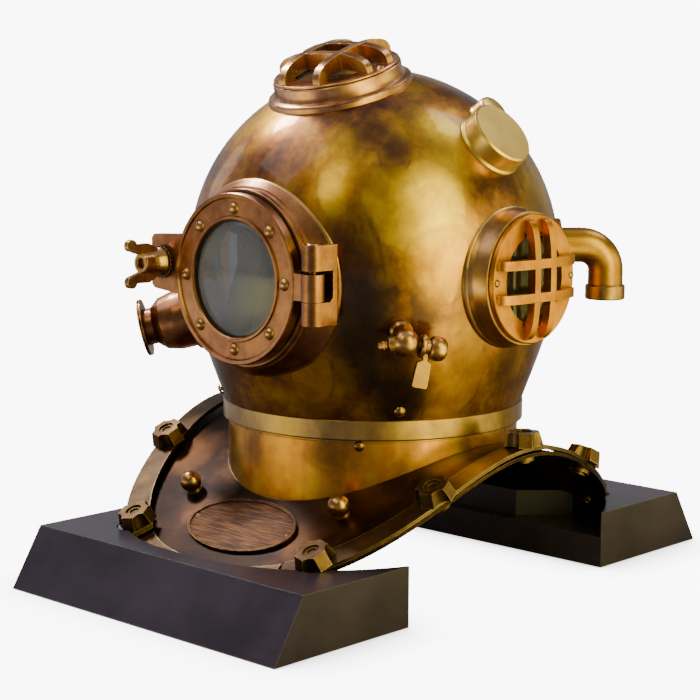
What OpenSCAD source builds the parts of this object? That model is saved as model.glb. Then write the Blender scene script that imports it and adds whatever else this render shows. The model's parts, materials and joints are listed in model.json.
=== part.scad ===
// A closed diving helmet on its two display plinths, all sizes in millimetres.
// The helmet faces -Y, its left side is +X, and the ground is z = 0 under the plinths.
// The helmet's own axis is the Z axis.

/* [Dome] */
// Outer radius of the spun dome
dome_r = 150; // [146:0.5:154]
// Height of the dome's centre above the top of its neck ring
dome_lift = 116.4; // [112:0.2:120]
// Thickness of the dome's sheet
dome_t = 2.4; // [1.6:0.1:3]
// Outer radius of the dome at its foot
foot_r = 122.2; // [121:0.1:122.4]
// Slope of the dome's foot, in degrees from the upright
foot_slope = 19.7; // [16:0.1:22]

/* [Neck joint] */
// Outer radius of the bonnet's neck ring
bonnet_ring_r = 123.1; // [122.8:0.1:126]
// Height of the bonnet's neck ring
bonnet_ring_h = 15.3; // [14.8:0.1:18]
// Outer radius of the neck collar under the rings
collar_r = 119; // [118:0.2:120]
// Wall of the neck collar
collar_t = 3.5; // [2.5:0.1:5]
// Height of the neck collar above the breastplate's crown
collar_rise = 8.2; // [7:0.1:9]
// Height of the lower ring's flange
flange_h = 1.5; // [1.2:0.1:3]
// Thickness of the neck gasket
gasket_t = 0.7; // [0.5:0.1:1.2]
// Height of the interrupted thread's ridges
ridge_h = 3.2; // [2.6:0.1:3.4]
// Pitch of the interrupted thread
ridge_pitch = 4.4; // [4.2:0.1:4.8]
// Number of thread sectors round the neck
sectors = 4; // [3:1:6]

/* [Breastplate] */
// Half width of the breastplate, across the shoulders
plate_a = 166.9; // [164:0.5:170]
// Half length of the breastplate, from front to back
plate_b = 210; // [207:0.5:212]
// Squareness of the breastplate's outline: 2 is an ellipse
plate_e = 2.37; // [2.2:0.01:2.6]
// Thickness of the breastplate's sheet
plate_t = 2.6; // [2:0.1:3]
// Height of the shoulder crown above the front and back tips
plate_rise = 88.3; // [84:0.1:92]
// Fall of the plate's curve near the crown
saddle_near = 1.785; // [1.7:0.005:1.85]
// Easing of that fall further out
saddle_far = 1.05; // [0.95:0.01:1.1]
// Distance between the ball studs and the middle of the helmet
ball_x = 78.5; // [74:0.5:84]
// Distance of the right ball stud from the breastplate's front tip
ball_in = 83; // [80:0.5:86]
// How much further back the left ball stud stands
left_ball_back = 7; // [0:0.5:8]
// Radius of the ball studs
ball_r = 8.5; // [7:0.1:9.5]

/* [Straps and nuts] */
// Width of the straps
strap_w = 18; // [15:0.5:20]
// Thickness of the right shoulder strap
strap_t = 4.2; // [3:0.1:5]
// Gap between plate and right strap towards the strap's ends
gap_end = 3.6; // [3:0.1:5]
// Gap between plate and right strap over the shoulder
gap_mid = 6.4; // [5:0.1:7]
// How far the right strap reaches past the plate's edge at the shoulder
strap_over = 2; // [0:0.1:2.4]
// Thickness of the left shoulder strap
left_strap_t = 3; // [2.5:0.1:4]
// Gap between plate and left strap towards the strap's ends
left_gap_end = 0.4; // [0.3:0.1:1]
// Gap between plate and left strap over the shoulder
left_gap_mid = 2; // [1:0.1:2.4]
// Thickness of the thin front and back straps
thin_strap_t = 2.2; // [1.5:0.1:3]
// Angle from straight ahead at which a shoulder strap begins
strap_start = 23; // [21:0.5:24]
// Radius of a strap stud
stud_r = 4; // [3:0.1:4.5]
// Distance from a nut's axis to the flat end of a lobe, at the base
nut_r = 15.3; // [14:0.1:16]
// Distance from a nut's axis to the flat end of a lobe, at the top
nut_top_r = 11.8; // [11:0.1:13]
// Height of a nut
nut_h = 11; // [10:0.5:13]
// Number of lobes on a nut
nut_lobes = 4; // [3:1:5]

/* [Name plate] */
// Half length of the bare oval plate
oval_a = 54.5; // [50:0.2:56]
// Half height of the bare oval plate
oval_b = 29.5; // [26:0.2:31]
// Thickness of the oval plate
oval_t = 1.8; // [1.2:0.1:2.5]
// Distance of the oval plate's centre from the breastplate's front tip
oval_in = 59; // [57:0.5:60]
// Distance of the oval plate's centre to the left of the middle
oval_x = 2.4; // [0:0.1:3]

/* [Windows] */
// Distance of the side windows' axes below the dome's centre
window_drop = 8; // [6:0.2:10]
// Radius of the base bead of the side windows
base_r = 55; // [54:0.2:58]
// Radius of the base flange of the top window
top_base_r = 57.8; // [56:0.2:59]
// Radius of the side and top window bodies
body_r = 51.4; // [50.6:0.1:52.5]
// Distance of a side window's guard seat from the helmet's axis
side_seat = 160.9; // [158:0.1:163]
// Distance of the top window's guard seat from the dome's centre
top_seat = 155.6; // [154.5:0.1:157]
// Angle by which the top window leans forward
top_lean = 17.9; // [14:0.1:20]
// Angle by which that lean is turned to the left
top_swing = 3; // [0:0.5:10]
// Radius of the side and top glasses
glass_r = 42; // [40:0.1:43]
// Thickness of the side and top glasses
glass_t = 8; // [6:0.1:9]

/* [Guards] */
// Radius of a side guard plate
guard_r = 49.5; // [48.5:0.1:50]
// Thickness of a side guard plate
guard_t = 4.7; // [4:0.1:6]
// Radius of the top guard plate
top_guard_r = 50.6; // [50:0.1:51]
// Thickness of the top guard plate
top_guard_t = 2.2; // [2:0.1:3]
// Radius of the hole in a guard plate
guard_hole = 34.3; // [33:0.1:35.5]
// Width of an upright guard bar, and of every bar over the top window
bar_w = 6.5; // [5.5:0.1:7.5]
// Width of a level guard bar over a side window
level_bar_w = 7; // [6:0.1:8]
// Height of the side guards' bars above the plate
bar_rise = 11; // [9.5:0.1:12.5]
// Height of the top guard's bars above the plate
top_bar_rise = 16.5; // [14:0.1:18]
// Height of the clear gap under a guard bar
bar_under = 3.4; // [2.5:0.1:4.5]
// Distance of the side guards' level bars from the window's axis
level_bar_offset = 12.7; // [12:0.1:14]
// Distance of the side guards' upright bars from the window's axis
upright_bar_offset = 9.6; // [9:0.1:12]
// Distance of the top guard's crossing bars from the window's axis
cross_bar_offset = 12.8; // [12:0.1:14]
// Distance of the top guard's front-to-back bars from the window's axis
long_bar_offset = 17.5; // [14:0.1:18]

/* [Front door] */
// Outer radius of the door
door_r = 65.6; // [65:0.1:67]
// Distance of the door's front rim from the helmet's axis
door_front = 158.4; // [157.5:0.1:160]
// Thickness of the door at its rim
door_t = 9.3; // [9:0.1:10]
// Distance of the door's axis below the side windows' axes
door_low = 1.2; // [0:0.1:2]
// Radius of the clear opening in the door
door_open = 44.8; // [44.4:0.1:45.2]
// Radius of the door bolts' circle
bolt_circle = 53.8; // [53.5:0.1:54.4]
// Number of door bolts
door_bolts_n = 8; // [6:1:12]
// Radius of a door bolt's domed head
bolt_head_r = 4.9; // [4:0.1:5.2]
// Height of a door bolt's domed head
bolt_head_h = 3.2; // [2.4:0.1:4]
// Bulge of the door glass in front of its edge
glass_bulge = 6; // [4:0.1:6.4]
// Outer radius of the front port's collar behind the door
port_r = 70; // [69:0.1:72]
// Radius of the front port's collar where it meets the dome
port_foot_r = 82.5; // [81:0.1:84]

/* [Door hinge] */
// Distance of the hinge pin to the side of the door's axis
pin_x = 79.2; // [78.6:0.1:80]
// Distance of the hinge pin from the helmet's axis
pin_y = 152; // [151.5:0.1:152.5]
// Radius of the hinge pin
pin_r = 3; // [2.4:0.1:3.4]
// Radius of the hinge knuckles
knuckle_r = 8.75; // [8.2:0.05:9.2]
// Height of the lower fixed knuckle
knuckle_low = 17.2; // [14:0.1:18]
// Height of the door's knuckle
knuckle_mid = 20; // [17:0.1:21]
// Height of the upper fixed knuckle
knuckle_up = 18.7; // [15:0.1:20]
// Gap above the door's knuckle
gap_up = 2.8; // [1:0.1:3.2]

/* [Wing nut] */
// Distance of the clamp bolt to the side of the door's axis
clamp_x = 80; // [79:0.1:81]
// Height of the clamp bolt above the door's axis
clamp_up = 6.7; // [4:0.1:8]
// Radius of the clamp bolt
clamp_r = 4.2; // [3.6:0.1:4.6]
// Length of the wing nut's hub
hub_l = 19.5; // [17:0.5:22]
// Radius of the wing nut's hub at its face
hub_r = 8; // [7.4:0.1:8.6]
// Length of a wing
wing_l = 31; // [26:0.5:33]
// Thickness of a wing
wing_t = 4.4; // [3.6:0.1:5]
// Radius of the knurled washer
washer_r = 13; // [12:0.1:13.4]
// Number of flutes round the knurled washer
washer_flutes = 24; // [16:1:28]

/* [Elbows] */
// Angle between straight ahead and an elbow
elbow_az = 137; // [133:0.5:141]
// Outer radius of the elbow pipe
pipe_r = 14.3; // [13.6:0.1:15]
// Wall of the elbow pipe
pipe_wall = 3.3; // [2.6:0.1:4]
// Radius of the elbow's bend, at the pipe's axis
bend_r = 21; // [18:0.5:23]
// Distance of the elbow's mouth from the helmet's axis
elbow_reach = 191.5; // [188:0.5:196]
// Height of the elbow's level pipe above the dome's centre
elbow_up = 7.4; // [4:0.2:9]
// Radius of the elbow's end collar
end_r = 16.4; // [16:0.1:17.5]
// Height of the elbow's end collar
end_h = 12; // [10:0.1:15]
// Distance from the elbow's level axis down to the mouth
elbow_fall = 44.6; // [42:0.2:50]
// Bore radius of the hose thread in the end collar
hose_r = 12.5; // [11.6:0.1:13]

/* [Exhaust valve] */
// Angle between straight ahead and the exhaust valve
valve_az = -47; // [-49:0.5:-45]
// Angle by which the exhaust valve points down
valve_dip = 13.4; // [11:0.1:16]
// Distance of the valve axis below the dome's centre, on the helmet's axis
valve_drop = 17.1; // [15:0.1:19]
// Radius of the valve body
valve_r = 24.2; // [23:0.1:25]
// Radius of the valve body's neck
valve_neck_r = 15; // [14:0.1:16]
// Radius of the valve's hand wheel
wheel_r = 23.4; // [22:0.1:24.5]
// Distance of the hand wheel's outer face from the helmet's axis
wheel_d = 194.2; // [192.5:0.1:196]
// Travel of the chin button
chin_travel = 5; // [3:0.5:6]

/* [Spitcock] */
// Angle between straight ahead and the spitcock
cock_az = 50.8; // [49.5:0.1:52]
// Angle by which the spitcock points down
cock_dip = 17; // [15:0.2:19]
// Height of the spitcock's ball above the dome
cock_up = 22; // [21:0.1:24]
// Radius of the spitcock's ball
cock_r = 10.4; // [9.6:0.1:10.8]
// Length of the spitcock's lever below its axis
lever_l = 31; // [26:0.5:33]
// Radius of the knob on the plug's end
knob_r = 9.4; // [8.4:0.1:10]

/* [Telephone cup] */
// Angle between straight ahead and the telephone cup
cup_az = 92; // [90:0.5:94]
// Angle of the telephone cup above the level
cup_up = 38.2; // [37.5:0.1:39]
// Outer radius of the telephone cup
cup_r = 26.8; // [25.5:0.1:27.5]
// Height of the cup's face above the dome
cup_h = 15; // [13:0.1:17]

/* [Plinths] */
// Half length of a plinth
plinth_x = 147.6; // [147:0.1:152]
// Distance of a plinth's inner face from the shoulder line
plinth_in = 119.9; // [116:0.1:122]
// Distance of a plinth's upper outer edge from the shoulder line
plinth_top = 230.3; // [226:0.1:236]
// Distance of a plinth's lower outer edge from the shoulder line
plinth_out = 258.7; // [252:0.1:264]
// Height of a plinth
plinth_h = 46.4; // [46:0.1:50]
// Height of the pocket's floor
pocket_z = 25.3; // [22:0.1:26]
// Clearance between the breastplate's front edge and the pocket
pocket_gap = 2; // [1.5:0.1:3]
// How far the pocket's sides stay inside the breastplate's widest line
pocket_in = 0.8; // [0:0.1:1]

/* [Hidden] */
$fn = 96;
// Clearance of a running fit, on the radius
run_gap = 0.05;
// Clearance between bodies that only pass each other
pass_gap = 0.3;
// Clearance between pieces that are fastened face to face on a curve
seat_gap = 0.05;
// Larger than the whole helmet
huge = 600;

// Heights, from the ground up
tip_z = pocket_z + plate_t;
crown_z = tip_z + plate_rise;
collar_top = crown_z + collar_rise;
flange_top = collar_top + flange_h;
ring_z = flange_top + gasket_t + pass_gap;
ring_top = ring_z + bonnet_ring_h;
dome_z = ring_top + dome_lift;
window_z = dome_z - window_drop;
port_z = window_z - door_low;

// Radii of the neck joint, from the outside in
ring_bore = 118.7;
ridge_tip = ring_bore - pass_gap;
spigot_r = ridge_tip - ridge_h;
spigot_bore = 111;
bonnet_ridge_r = spigot_r + pass_gap;
spigot_h = 13.2;
shell_spigot = 6;
sector_angle = 360 / sectors;

// Door depths, measured out from the helmet's axis
door_back = door_front - door_t;
port_face = door_back - 0.6;
recess_d = door_front - 2;
lip_back = door_front - 3.8;
glass_seal_t = 1;
door_glass_r = 48.6;
door_glass_t = 3.9;
retainer_r = 61.5;
retainer_t = 3.4;
port_bore = 50;
port_sleeve = 56;

// Hinge heights
gap_low = 0.5;
hinge_h = knuckle_low + gap_low + knuckle_mid + gap_up + knuckle_up;
hinge_z = window_z - hinge_h / 2;
mid_z = hinge_z + knuckle_low + gap_low;
up_z = mid_z + knuckle_mid + gap_up;

// Clamp depths, measured out from the helmet's axis
lug_back = door_back + 1.4;
lug_t = 7;
lug_face = lug_back + lug_t;
washer_t = 3.2;
nut_base = lug_face + washer_t + 0.6;
clamp_z = window_z + clamp_up;

// Window details, measured from the guard's seat
glass_back = glass_t + 1.5;
window_bore = 36;
window_sleeve = 44;

// Angles of the strap nuts, from straight ahead, on each side
left_nut_angles = [30.5, 58.5, 90, 121.5, 151];
right_nut_angles = [27, 58.5, 90, 121.5, 153];

// Places fixed to the breastplate's length
oval_y = plate_b - oval_in;
ball_y = plate_b - ball_in;
ball_places = [[-ball_x, -ball_y], [ball_x + 1.5, left_ball_back - ball_y]];

// Distances from the dome's centre
cup_d = dome_r + cup_h;
cock_d = dome_r + cock_up;

// Places of the small screws round the neck
ring_screw_angles = [52, 142, 232, 322];
collar_screw_angles = [37.6, 217.6];

// The height of the breastplate's top at a distance y from the shoulder line
function fall(u) = saddle_near * u^2 - saddle_far * u^4 + (1 - saddle_near + saddle_far) * u^6;
function plate_z(y) = crown_z - plate_rise * fall(abs(y) / plate_b);
function ease(y, at_end, at_mid) = at_end + (at_mid - at_end) * exp(-(y / 60)^2);
function strap_thick(side) = side > 0 ? left_strap_t : strap_t;
function strap_gap(side, y) =
    side > 0 ? ease(y, left_gap_end, left_gap_mid) : ease(y, gap_end, gap_mid);
function strap_z(side, y) = plate_z(y) + strap_gap(side, y) + strap_thick(side);
function plate_tilt(y) = atan((plate_z(y + 1) - plate_z(y - 1)) / 2);
function strap_tilt(side, y) = atan((strap_z(side, y + 1) - strap_z(side, y - 1)) / 2);

// How far each strap reaches past the plate's outline, and the radius of its line of nuts
strap_edge = -0.4;
function strap_out(side) = side > 0 ? strap_edge : strap_over;
function nut_line(az) = outline_r(
    az, plate_a - strap_w / 2 + (az > 0 ? 0 : 0.75 * strap_over), plate_b - strap_w / 2
);

// A superellipse, and its radius in the direction az from straight ahead
function power(v, e) = sign(v) * abs(v)^e;
function outline(a, b, n = 96) = [
    for (i = [0 : n - 1]) [
        a * power(cos(i * 360 / n), 2 / plate_e),
        b * power(sin(i * 360 / n), 2 / plate_e)
    ]
];
function outline_r(az, a, b) =
    (abs(sin(az) / a)^plate_e + abs(cos(az) / b)^plate_e)^(-1 / plate_e);
function ellipse_points(a, b, n = 72) = [
    for (i = [0 : n - 1]) [a * cos(i * 360 / n), b * sin(i * 360 / n)]
];

// The dome's lower profile, a cubic curve from the equator down to the foot
function bezier(p, t) =
    (1 - t)^3 * p[0] + 3 * (1 - t)^2 * t * p[1] + 3 * (1 - t) * t^2 * p[2] + t^3 * p[3];
foot_pull = 46;
foot_z = ring_top + 0.2;
foot_dir = [sin(foot_slope), cos(foot_slope)];
foot_out = [cos(foot_slope), -sin(foot_slope)];
function foot_curve(e, n = 12) = [
    for (i = [0 : n]) bezier([
        [dome_r + e, dome_z],
        [dome_r + e, dome_z - foot_pull],
        [foot_r, foot_z] + foot_pull * foot_dir + e * foot_out,
        [foot_r, foot_z] + e * foot_out
    ], i / n)
];

// The solid inside the dome's outer surface grown by e
module dome_body(e) {
    low = foot_curve(e);
    union() {
        intersection() {
            translate([0, 0, dome_z]) sphere(r = dome_r + e);
            translate([-huge / 2, -huge / 2, dome_z]) cube(huge);
        }
        rotate_extrude() polygon(concat([[0, dome_z]], low, [[0, low[len(low) - 1][1]]]));
    }
}

// Turns +Z outwards: az from straight ahead towards the left side, el upwards
module facing(az, el, z) {
    translate([0, 0, z]) rotate([0, 0, az]) rotate([90 - el, 0, 0]) children();
}

module side_facing(side) {
    facing(90 * side, 0, window_z) children();
}

module front_facing() {
    facing(0, 0, port_z) children();
}

module top_facing() {
    facing(top_swing, 90 - top_lean, dome_z) children();
}

module tube(r_out, r_in, z0, z1) {
    rotate_extrude() polygon([[r_in, z0], [r_out, z0], [r_out, z1], [r_in, z1]]);
}

module ring(points) {
    rotate_extrude() polygon(points);
}

// A domed screw head on z = 0 with its shank below
module dome_screw(head_r, head_h, shank_r, shank_l) {
    ball = (head_r^2 + head_h^2) / (2 * head_h);
    intersection() {
        cylinder(r = head_r + 1, h = head_h + 1);
        translate([0, 0, head_h - ball]) sphere(r = ball);
    }
    translate([0, 0, -shank_l]) cylinder(r = shank_r, h = shank_l);
}

// A slab that follows a curve from front to back, from height lo(y) to hi(y)
function slab_points(lo, hi, reach, n) = concat(
    [for (i = [0 : n]) let(y = reach * (2 * i / n - 1)) [y, hi(y)]],
    [for (i = [n : -1 : 0]) let(y = reach * (2 * i / n - 1)) [y, lo(y)]]
);
module slab(lo, hi) {
    reach = plate_b + 0.5;
    rotate([90, 0, 90]) translate([0, 0, -huge / 2])
        linear_extrude(huge) polygon(slab_points(lo, hi, reach, 42));
}

// Frames on the breastplate and on the shoulder straps, +Z square to the sheet
module on_plate(x, y) {
    translate([x, y, plate_z(y)]) rotate([plate_tilt(y), 0, 0]) children();
}

module on_strap(az) {
    side = sign(az);
    x = nut_line(az) * sin(az);
    y = -nut_line(az) * cos(az);
    translate([x, y, strap_z(side, y)]) rotate([strap_tilt(side, y), 0, 0])
        rotate([0, 0, az]) children();
}

nut_places = concat(left_nut_angles, -right_nut_angles);
module each_nut() {
    for (az = nut_places) on_strap(az) children();
}

// PLINTHS
// The pocket's rim is relieved round the lowest nuts, which overhang the plate's edge
nut_relief_r = nut_r + 2.4;
nut_relief_under = 0.7;
module plinth(turn) {
    difference() {
        rotate([0, 0, turn]) difference() {
            rotate([90, 0, 90]) translate([0, 0, -plinth_x]) linear_extrude(2 * plinth_x)
                polygon([
                    [-plinth_in, 0], [-plinth_in, plinth_h],
                    [-plinth_top, plinth_h], [-plinth_out, 0]
                ]);
            translate([0, 0, pocket_z]) linear_extrude(plinth_h)
                polygon(outline(plate_a - pocket_in, plate_b + pocket_gap));
        }
        each_nut() translate([0, 0, -nut_relief_under]) cylinder(r = nut_relief_r, h = 2 * nut_h);
    }
}

module front_plinth() {
    color([0.13, 0.11, 0.14]) plinth(0);
}

module rear_plinth() {
    color([0.13, 0.11, 0.14]) plinth(180);
}

// The block on a pocket's floor, its top cut to the underside of the plate
support_top = 47.8;
support_near = plate_b - 76.4;
support_far = plate_b - 41;
support_near_x = 46.8;
support_far_x = 81.4;
module support() {
    intersection() {
        translate([0, 0, pocket_z]) linear_extrude(support_top - pocket_z)
            polygon([
                [-support_near_x, -support_near], [support_near_x, -support_near],
                [support_far_x, -support_far], [-support_far_x, -support_far]
            ]);
        slab(function(y) 0, function(y) plate_z(y) - plate_t - 0.1);
    }
}

module front_support() {
    color([0.1, 0.09, 0.11]) support();
}

module rear_support() {
    color([0.1, 0.09, 0.11]) rotate([0, 0, 180]) support();
}

// BREASTPLATE
module breastplate() {
    color([0.33, 0.2, 0.11]) difference() {
        intersection() {
            slab(function(y) plate_z(y) - plate_t, function(y) plate_z(y));
            linear_extrude(huge) polygon(outline(plate_a, plate_b));
        }
        cylinder(r = collar_r + seat_gap, h = huge);
        each_nut() cylinder(r = stud_r + 0.2, h = 60, center = true);
        for (place = ball_places) on_plate(place[0], place[1])
            cylinder(r = 3.1, h = 20, center = true);
        for (side = [-1, 1]) on_plate(oval_x + side * (oval_a - 4.9), -oval_y)
            cylinder(r = 1.3, h = 20, center = true);
    }
}

// The collar's foot reaches just through the plate and follows its curve
collar_foot = 3;
module neck_collar() {
    color([0.8, 0.58, 0.2]) difference() {
        intersection() {
            tube(collar_r, collar_r - collar_t, 0, collar_top);
            slab(
                function(y) plate_z(y) - plate_t - collar_foot,
                function(y) crown_z + huge / 2
            );
        }
        for (az = collar_screw_angles) rotate([0, 0, az])
            translate([0, -collar_r, collar_top - 2.4]) rotate([90, 0, 0])
                cylinder(r = 1.65, h = 2 * collar_t + 2, center = true);
    }
}

// One ridge of the interrupted thread at height z, rooted at r0 and reaching r1
module ridge(z, r0, r1) {
    ring([[r0, z - 1.3], [r1, z - 0.5], [r1, z + 0.5], [r0, z + 1.3]]);
}

// Keeps what lies in the thread's sectors
module in_sectors(turn, part) {
    intersection() {
        children();
        for (k = [0 : sectors - 1]) rotate([0, 0, turn + k * sector_angle])
            linear_extrude(huge) polygon([
                [0, 0],
                [huge * cos(part), huge * sin(part)],
                [huge * cos(part), -huge * sin(part)]
            ]);
    }
}
sector_half = sector_angle / 4 - 1.5;
first_ridge = flange_top + gasket_t + pass_gap + 1.6;

module lower_ring() {
    color([0.72, 0.53, 0.2]) union() {
        ring([
            [spigot_bore, collar_top], [ridge_tip + 0.4, collar_top],
            [ridge_tip + 0.4, flange_top], [spigot_r, flange_top],
            [spigot_r, flange_top + spigot_h - 1], [spigot_r - 1, flange_top + spigot_h],
            [spigot_bore, flange_top + spigot_h]
        ]);
        in_sectors(0, sector_half) union() {
            ridge(first_ridge + ridge_pitch / 2, spigot_r - 0.2, ridge_tip);
            ridge(first_ridge + 1.5 * ridge_pitch, spigot_r - 0.2, ridge_tip);
        }
    }
}

module neck_gasket() {
    color([0.25, 0.16, 0.09]) tube(ridge_tip, spigot_r + 0.1, flange_top, flange_top + gasket_t);
}

// STRAPS
module strap_plan(az0, az1, over, n = 12) {
    intersection() {
        difference() {
            linear_extrude(huge) polygon(outline(plate_a + over, plate_b + strap_edge));
            linear_extrude(huge) polygon(outline(plate_a - strap_w, plate_b - strap_w));
        }
        linear_extrude(huge) polygon(concat([[0, 0]], [
            for (i = [0 : n]) let(az = az0 + (az1 - az0) * i / n)
                [huge * sin(az), -huge * cos(az)]
        ]));
    }
}

module shoulder_strap(side) {
    difference() {
        intersection() {
            strap_plan(side * strap_start, side * (180 - strap_start), strap_out(side));
            slab(function(y) plate_z(y) + strap_gap(side, y), function(y) strap_z(side, y));
        }
        each_nut() cylinder(r = stud_r + 0.2, h = 60, center = true);
    }
}

module thin_strap(az) {
    intersection() {
        strap_plan(az - strap_start + 1, az + strap_start - 1, strap_edge);
        slab(function(y) plate_z(y) + seat_gap, function(y) plate_z(y) + thin_strap_t);
    }
}

module left_strap() {
    color([0.5, 0.35, 0.15]) shoulder_strap(1);
}

module right_strap() {
    color([0.5, 0.35, 0.15]) shoulder_strap(-1);
}

module front_strap() {
    color([0.5, 0.35, 0.15]) thin_strap(0);
}

module rear_strap() {
    color([0.5, 0.35, 0.15]) thin_strap(180);
}

// A stud with its head under the plate, and a shoulder where the strap stands clear of the plate
stud_head_r = 8.5;
stud_head_h = 3;
stud_nose_r = 5.5;
stud_step_gap = 2.5;
module strap_studs() {
    color([0.45, 0.3, 0.13]) for (az = nut_places) {
        side = sign(az);
        y = -nut_line(az) * cos(az);
        lean = cos(strap_tilt(side, y));
        under = -(strap_z(side, y) - plate_z(y) + plate_t) * lean - 0.4;
        step_low = -(strap_thick(side) + strap_gap(side, y)) * lean + 0.6;
        step_top = -strap_thick(side) * lean - 0.6;
        on_strap(az) ring(concat(
            [
                [0, under - stud_head_h - 2], [stud_nose_r, under - stud_head_h - 2],
                [stud_nose_r, under - stud_head_h], [stud_head_r, under - stud_head_h],
                [stud_head_r, under], [stud_r, under]
            ],
            strap_gap(side, y) < stud_step_gap ? [] : [
                [stud_r, step_low], [stud_r + 2.4, step_low],
                [stud_r + 2.4, step_top], [stud_r, step_top]
            ],
            [[stud_r, nut_h - 2.6], [0, nut_h - 2.6]]
        ));
    }
}

// A tapered nut with flat-ended lobes and hollows between them
module star_nut() {
    hollow_r = 8.2;
    hollow_at = nut_r + 3.5;
    corner = 1.3;
    taper = atan((nut_r - nut_top_r) / nut_h);
    difference() {
        cylinder(r1 = nut_r + corner, r2 = nut_top_r + corner, h = nut_h);
        for (k = [0 : nut_lobes - 1]) rotate([0, 0, k * 360 / nut_lobes])
            translate([hollow_at, 0, -1]) cylinder(r = hollow_r, h = nut_h + 2);
        for (k = [0 : nut_lobes - 1]) rotate([0, 0, (k + 0.5) * 360 / nut_lobes])
            translate([nut_r, 0, 0]) rotate([0, -taper, 0]) translate([0, -10, -6])
                cube([10, 20, nut_h + 12]);
        translate([0, 0, -1]) cylinder(r = stud_r + run_gap, h = nut_h + 2);
        translate([0, 0, nut_h - 1.6]) cylinder(r = 6.4, h = 3);
    }
}

module star_nuts() {
    color([0.6, 0.45, 0.18]) each_nut() translate([0, 0, 0.25]) star_nut();
}

module ball_studs() {
    color([0.6, 0.38, 0.14]) for (place = ball_places) on_plate(place[0], place[1]) {
        translate([0, 0, ball_r + 0.4]) sphere(r = ball_r);
        translate([0, 0, 0.15]) cylinder(r1 = 6, r2 = 5.4, h = 3);
        translate([0, 0, -plate_t - 3]) cylinder(r = 3, h = 8);
        translate([0, 0, -plate_t - 3.4]) cylinder(r = 6, h = 3);
    }
}

// A bare oval plate with a raised rim
oval_rim = 1;
oval_rim_w = 2.2;
module oval_plate() {
    color([0.62, 0.42, 0.18]) difference() {
        on_plate(oval_x, -oval_y) translate([0, 0, 0.3]) difference() {
            linear_extrude(oval_t + oval_rim) polygon(ellipse_points(oval_a, oval_b));
            translate([0, 0, oval_t]) linear_extrude(3)
                polygon(ellipse_points(oval_a - oval_rim_w, oval_b - oval_rim_w));
            for (side = [-1, 1]) translate([side * (oval_a - 4.9), 0, -1])
                cylinder(r = 1.25, h = oval_t + 3);
        }
        slab(function(y) plate_z(y) - 20, function(y) plate_z(y) + seat_gap);
    }
}

module plate_rivets() {
    color([0.7, 0.65, 0.55]) for (side = [-1, 1])
        on_plate(oval_x + side * (oval_a - 4.9), -oval_y) translate([0, 0, oval_t + 0.35]) dome_screw(2, 1.1, 1.2, oval_t + plate_t + 1.5);
}

module collar_screws() {
    color([0.5, 0.4, 0.25]) for (az = collar_screw_angles) rotate([0, 0, az])
        translate([0, -collar_r - 0.1, collar_top - 2.4]) rotate([90, 0, 0])
            dome_screw(4.2, 2.4, 1.6, collar_t + 0.1);
}

// BONNET
module bonnet_shell() {
    inner = foot_curve(-dome_t);
    last = inner[len(inner) - 1];
    color([0.72, 0.5, 0.16]) difference() {
        union() {
            dome_body(0);
            tube(foot_r - 1.8, 30, ring_top - shell_spigot, foot_z + 0.1);
        }
        dome_body(-dome_t);
        translate([0, 0, ring_top - huge]) cylinder(r = ring_bore, h = huge + 2.5);
        front_facing() cylinder(r = port_sleeve + seat_gap, h = huge);
        for (side = [-1, 1]) side_facing(side) cylinder(r = window_sleeve + seat_gap, h = huge);
        top_facing() cylinder(r = window_sleeve + seat_gap, h = huge);
        for (side = [-1, 1]) facing(side * elbow_az, 0, dome_z + elbow_up)
            cylinder(r = pipe_r + seat_gap, h = huge);
        facing(valve_az, -valve_dip, dome_z - valve_drop)
            cylinder(r = valve_tube_r + seat_gap, h = huge);
        facing(cock_az, -cock_dip, dome_z) cylinder(r = cock_tube_r + seat_gap, h = huge);
        facing(cup_az, cup_up, dome_z) cylinder(r = cup_bore, h = huge);
        for (az = ring_screw_angles) ring_screw_frame(az) cylinder(r = 1.65, h = 20, center = true);
    }
}

// The frame of a small screw just above the neck ring
module ring_screw_frame(az) {
    facing(az, -foot_slope, ring_top + 8.5 + foot_r * tan(foot_slope))
        translate([0, 0, (foot_r + 3.2) / cos(foot_slope)]) children();
}

module ring_screws() {
    color([0.6, 0.4, 0.25]) for (az = ring_screw_angles) ring_screw_frame(az)
        dome_screw(4.4, 2.6, 1.6, 6);
}

module bonnet_ring() {
    color([0.68, 0.52, 0.2]) union() {
        ring([
            [ring_bore, ring_z], [bonnet_ring_r - 0.6, ring_z], [bonnet_ring_r, ring_z + 0.6],
            [bonnet_ring_r, ring_top - 0.6], [bonnet_ring_r - 0.6, ring_top],
            [foot_r - 1.7, ring_top], [foot_r - 1.7, ring_top - shell_spigot - 0.1],
            [ring_bore, ring_top - shell_spigot - 0.1]
        ]);
        in_sectors(0, sector_half) union() {
            ridge(first_ridge, ring_bore + 0.2, bonnet_ridge_r);
            ridge(first_ridge + ridge_pitch, ring_bore + 0.2, bonnet_ridge_r);
        }
    }
}

// FRONT PORT
sleeve_in = 118;
foot_edge = 127;
foot_bend = 134;
foot_bend_r = 76;
foot_end = 141.5;
module front_port() {
    step_d = port_face - retainer_t - 1;
    color([0.62, 0.38, 0.13]) difference() {
        union() {
            front_facing() tube(port_sleeve, port_bore, sleeve_in, step_d - 0.4);
            difference() {
                front_facing() ring([
                    [port_bore + 3, sleeve_in], [port_foot_r, sleeve_in],
                    [port_foot_r, foot_edge], [foot_bend_r, foot_bend], [port_r, foot_end],
                    [port_r, 143.6], [port_r - 1.6, 144.6], [port_r - 1.6, port_face - 0.6],
                    [port_r - 2.2, port_face], [retainer_r + 0.7, port_face],
                    [retainer_r + 0.7, step_d], [port_bore + 3, step_d]
                ]);
                dome_body(seat_gap);
            }
        }
        front_facing() tube(66.2, 63.2, port_face - 2, port_face + 1);
    }
}

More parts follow.
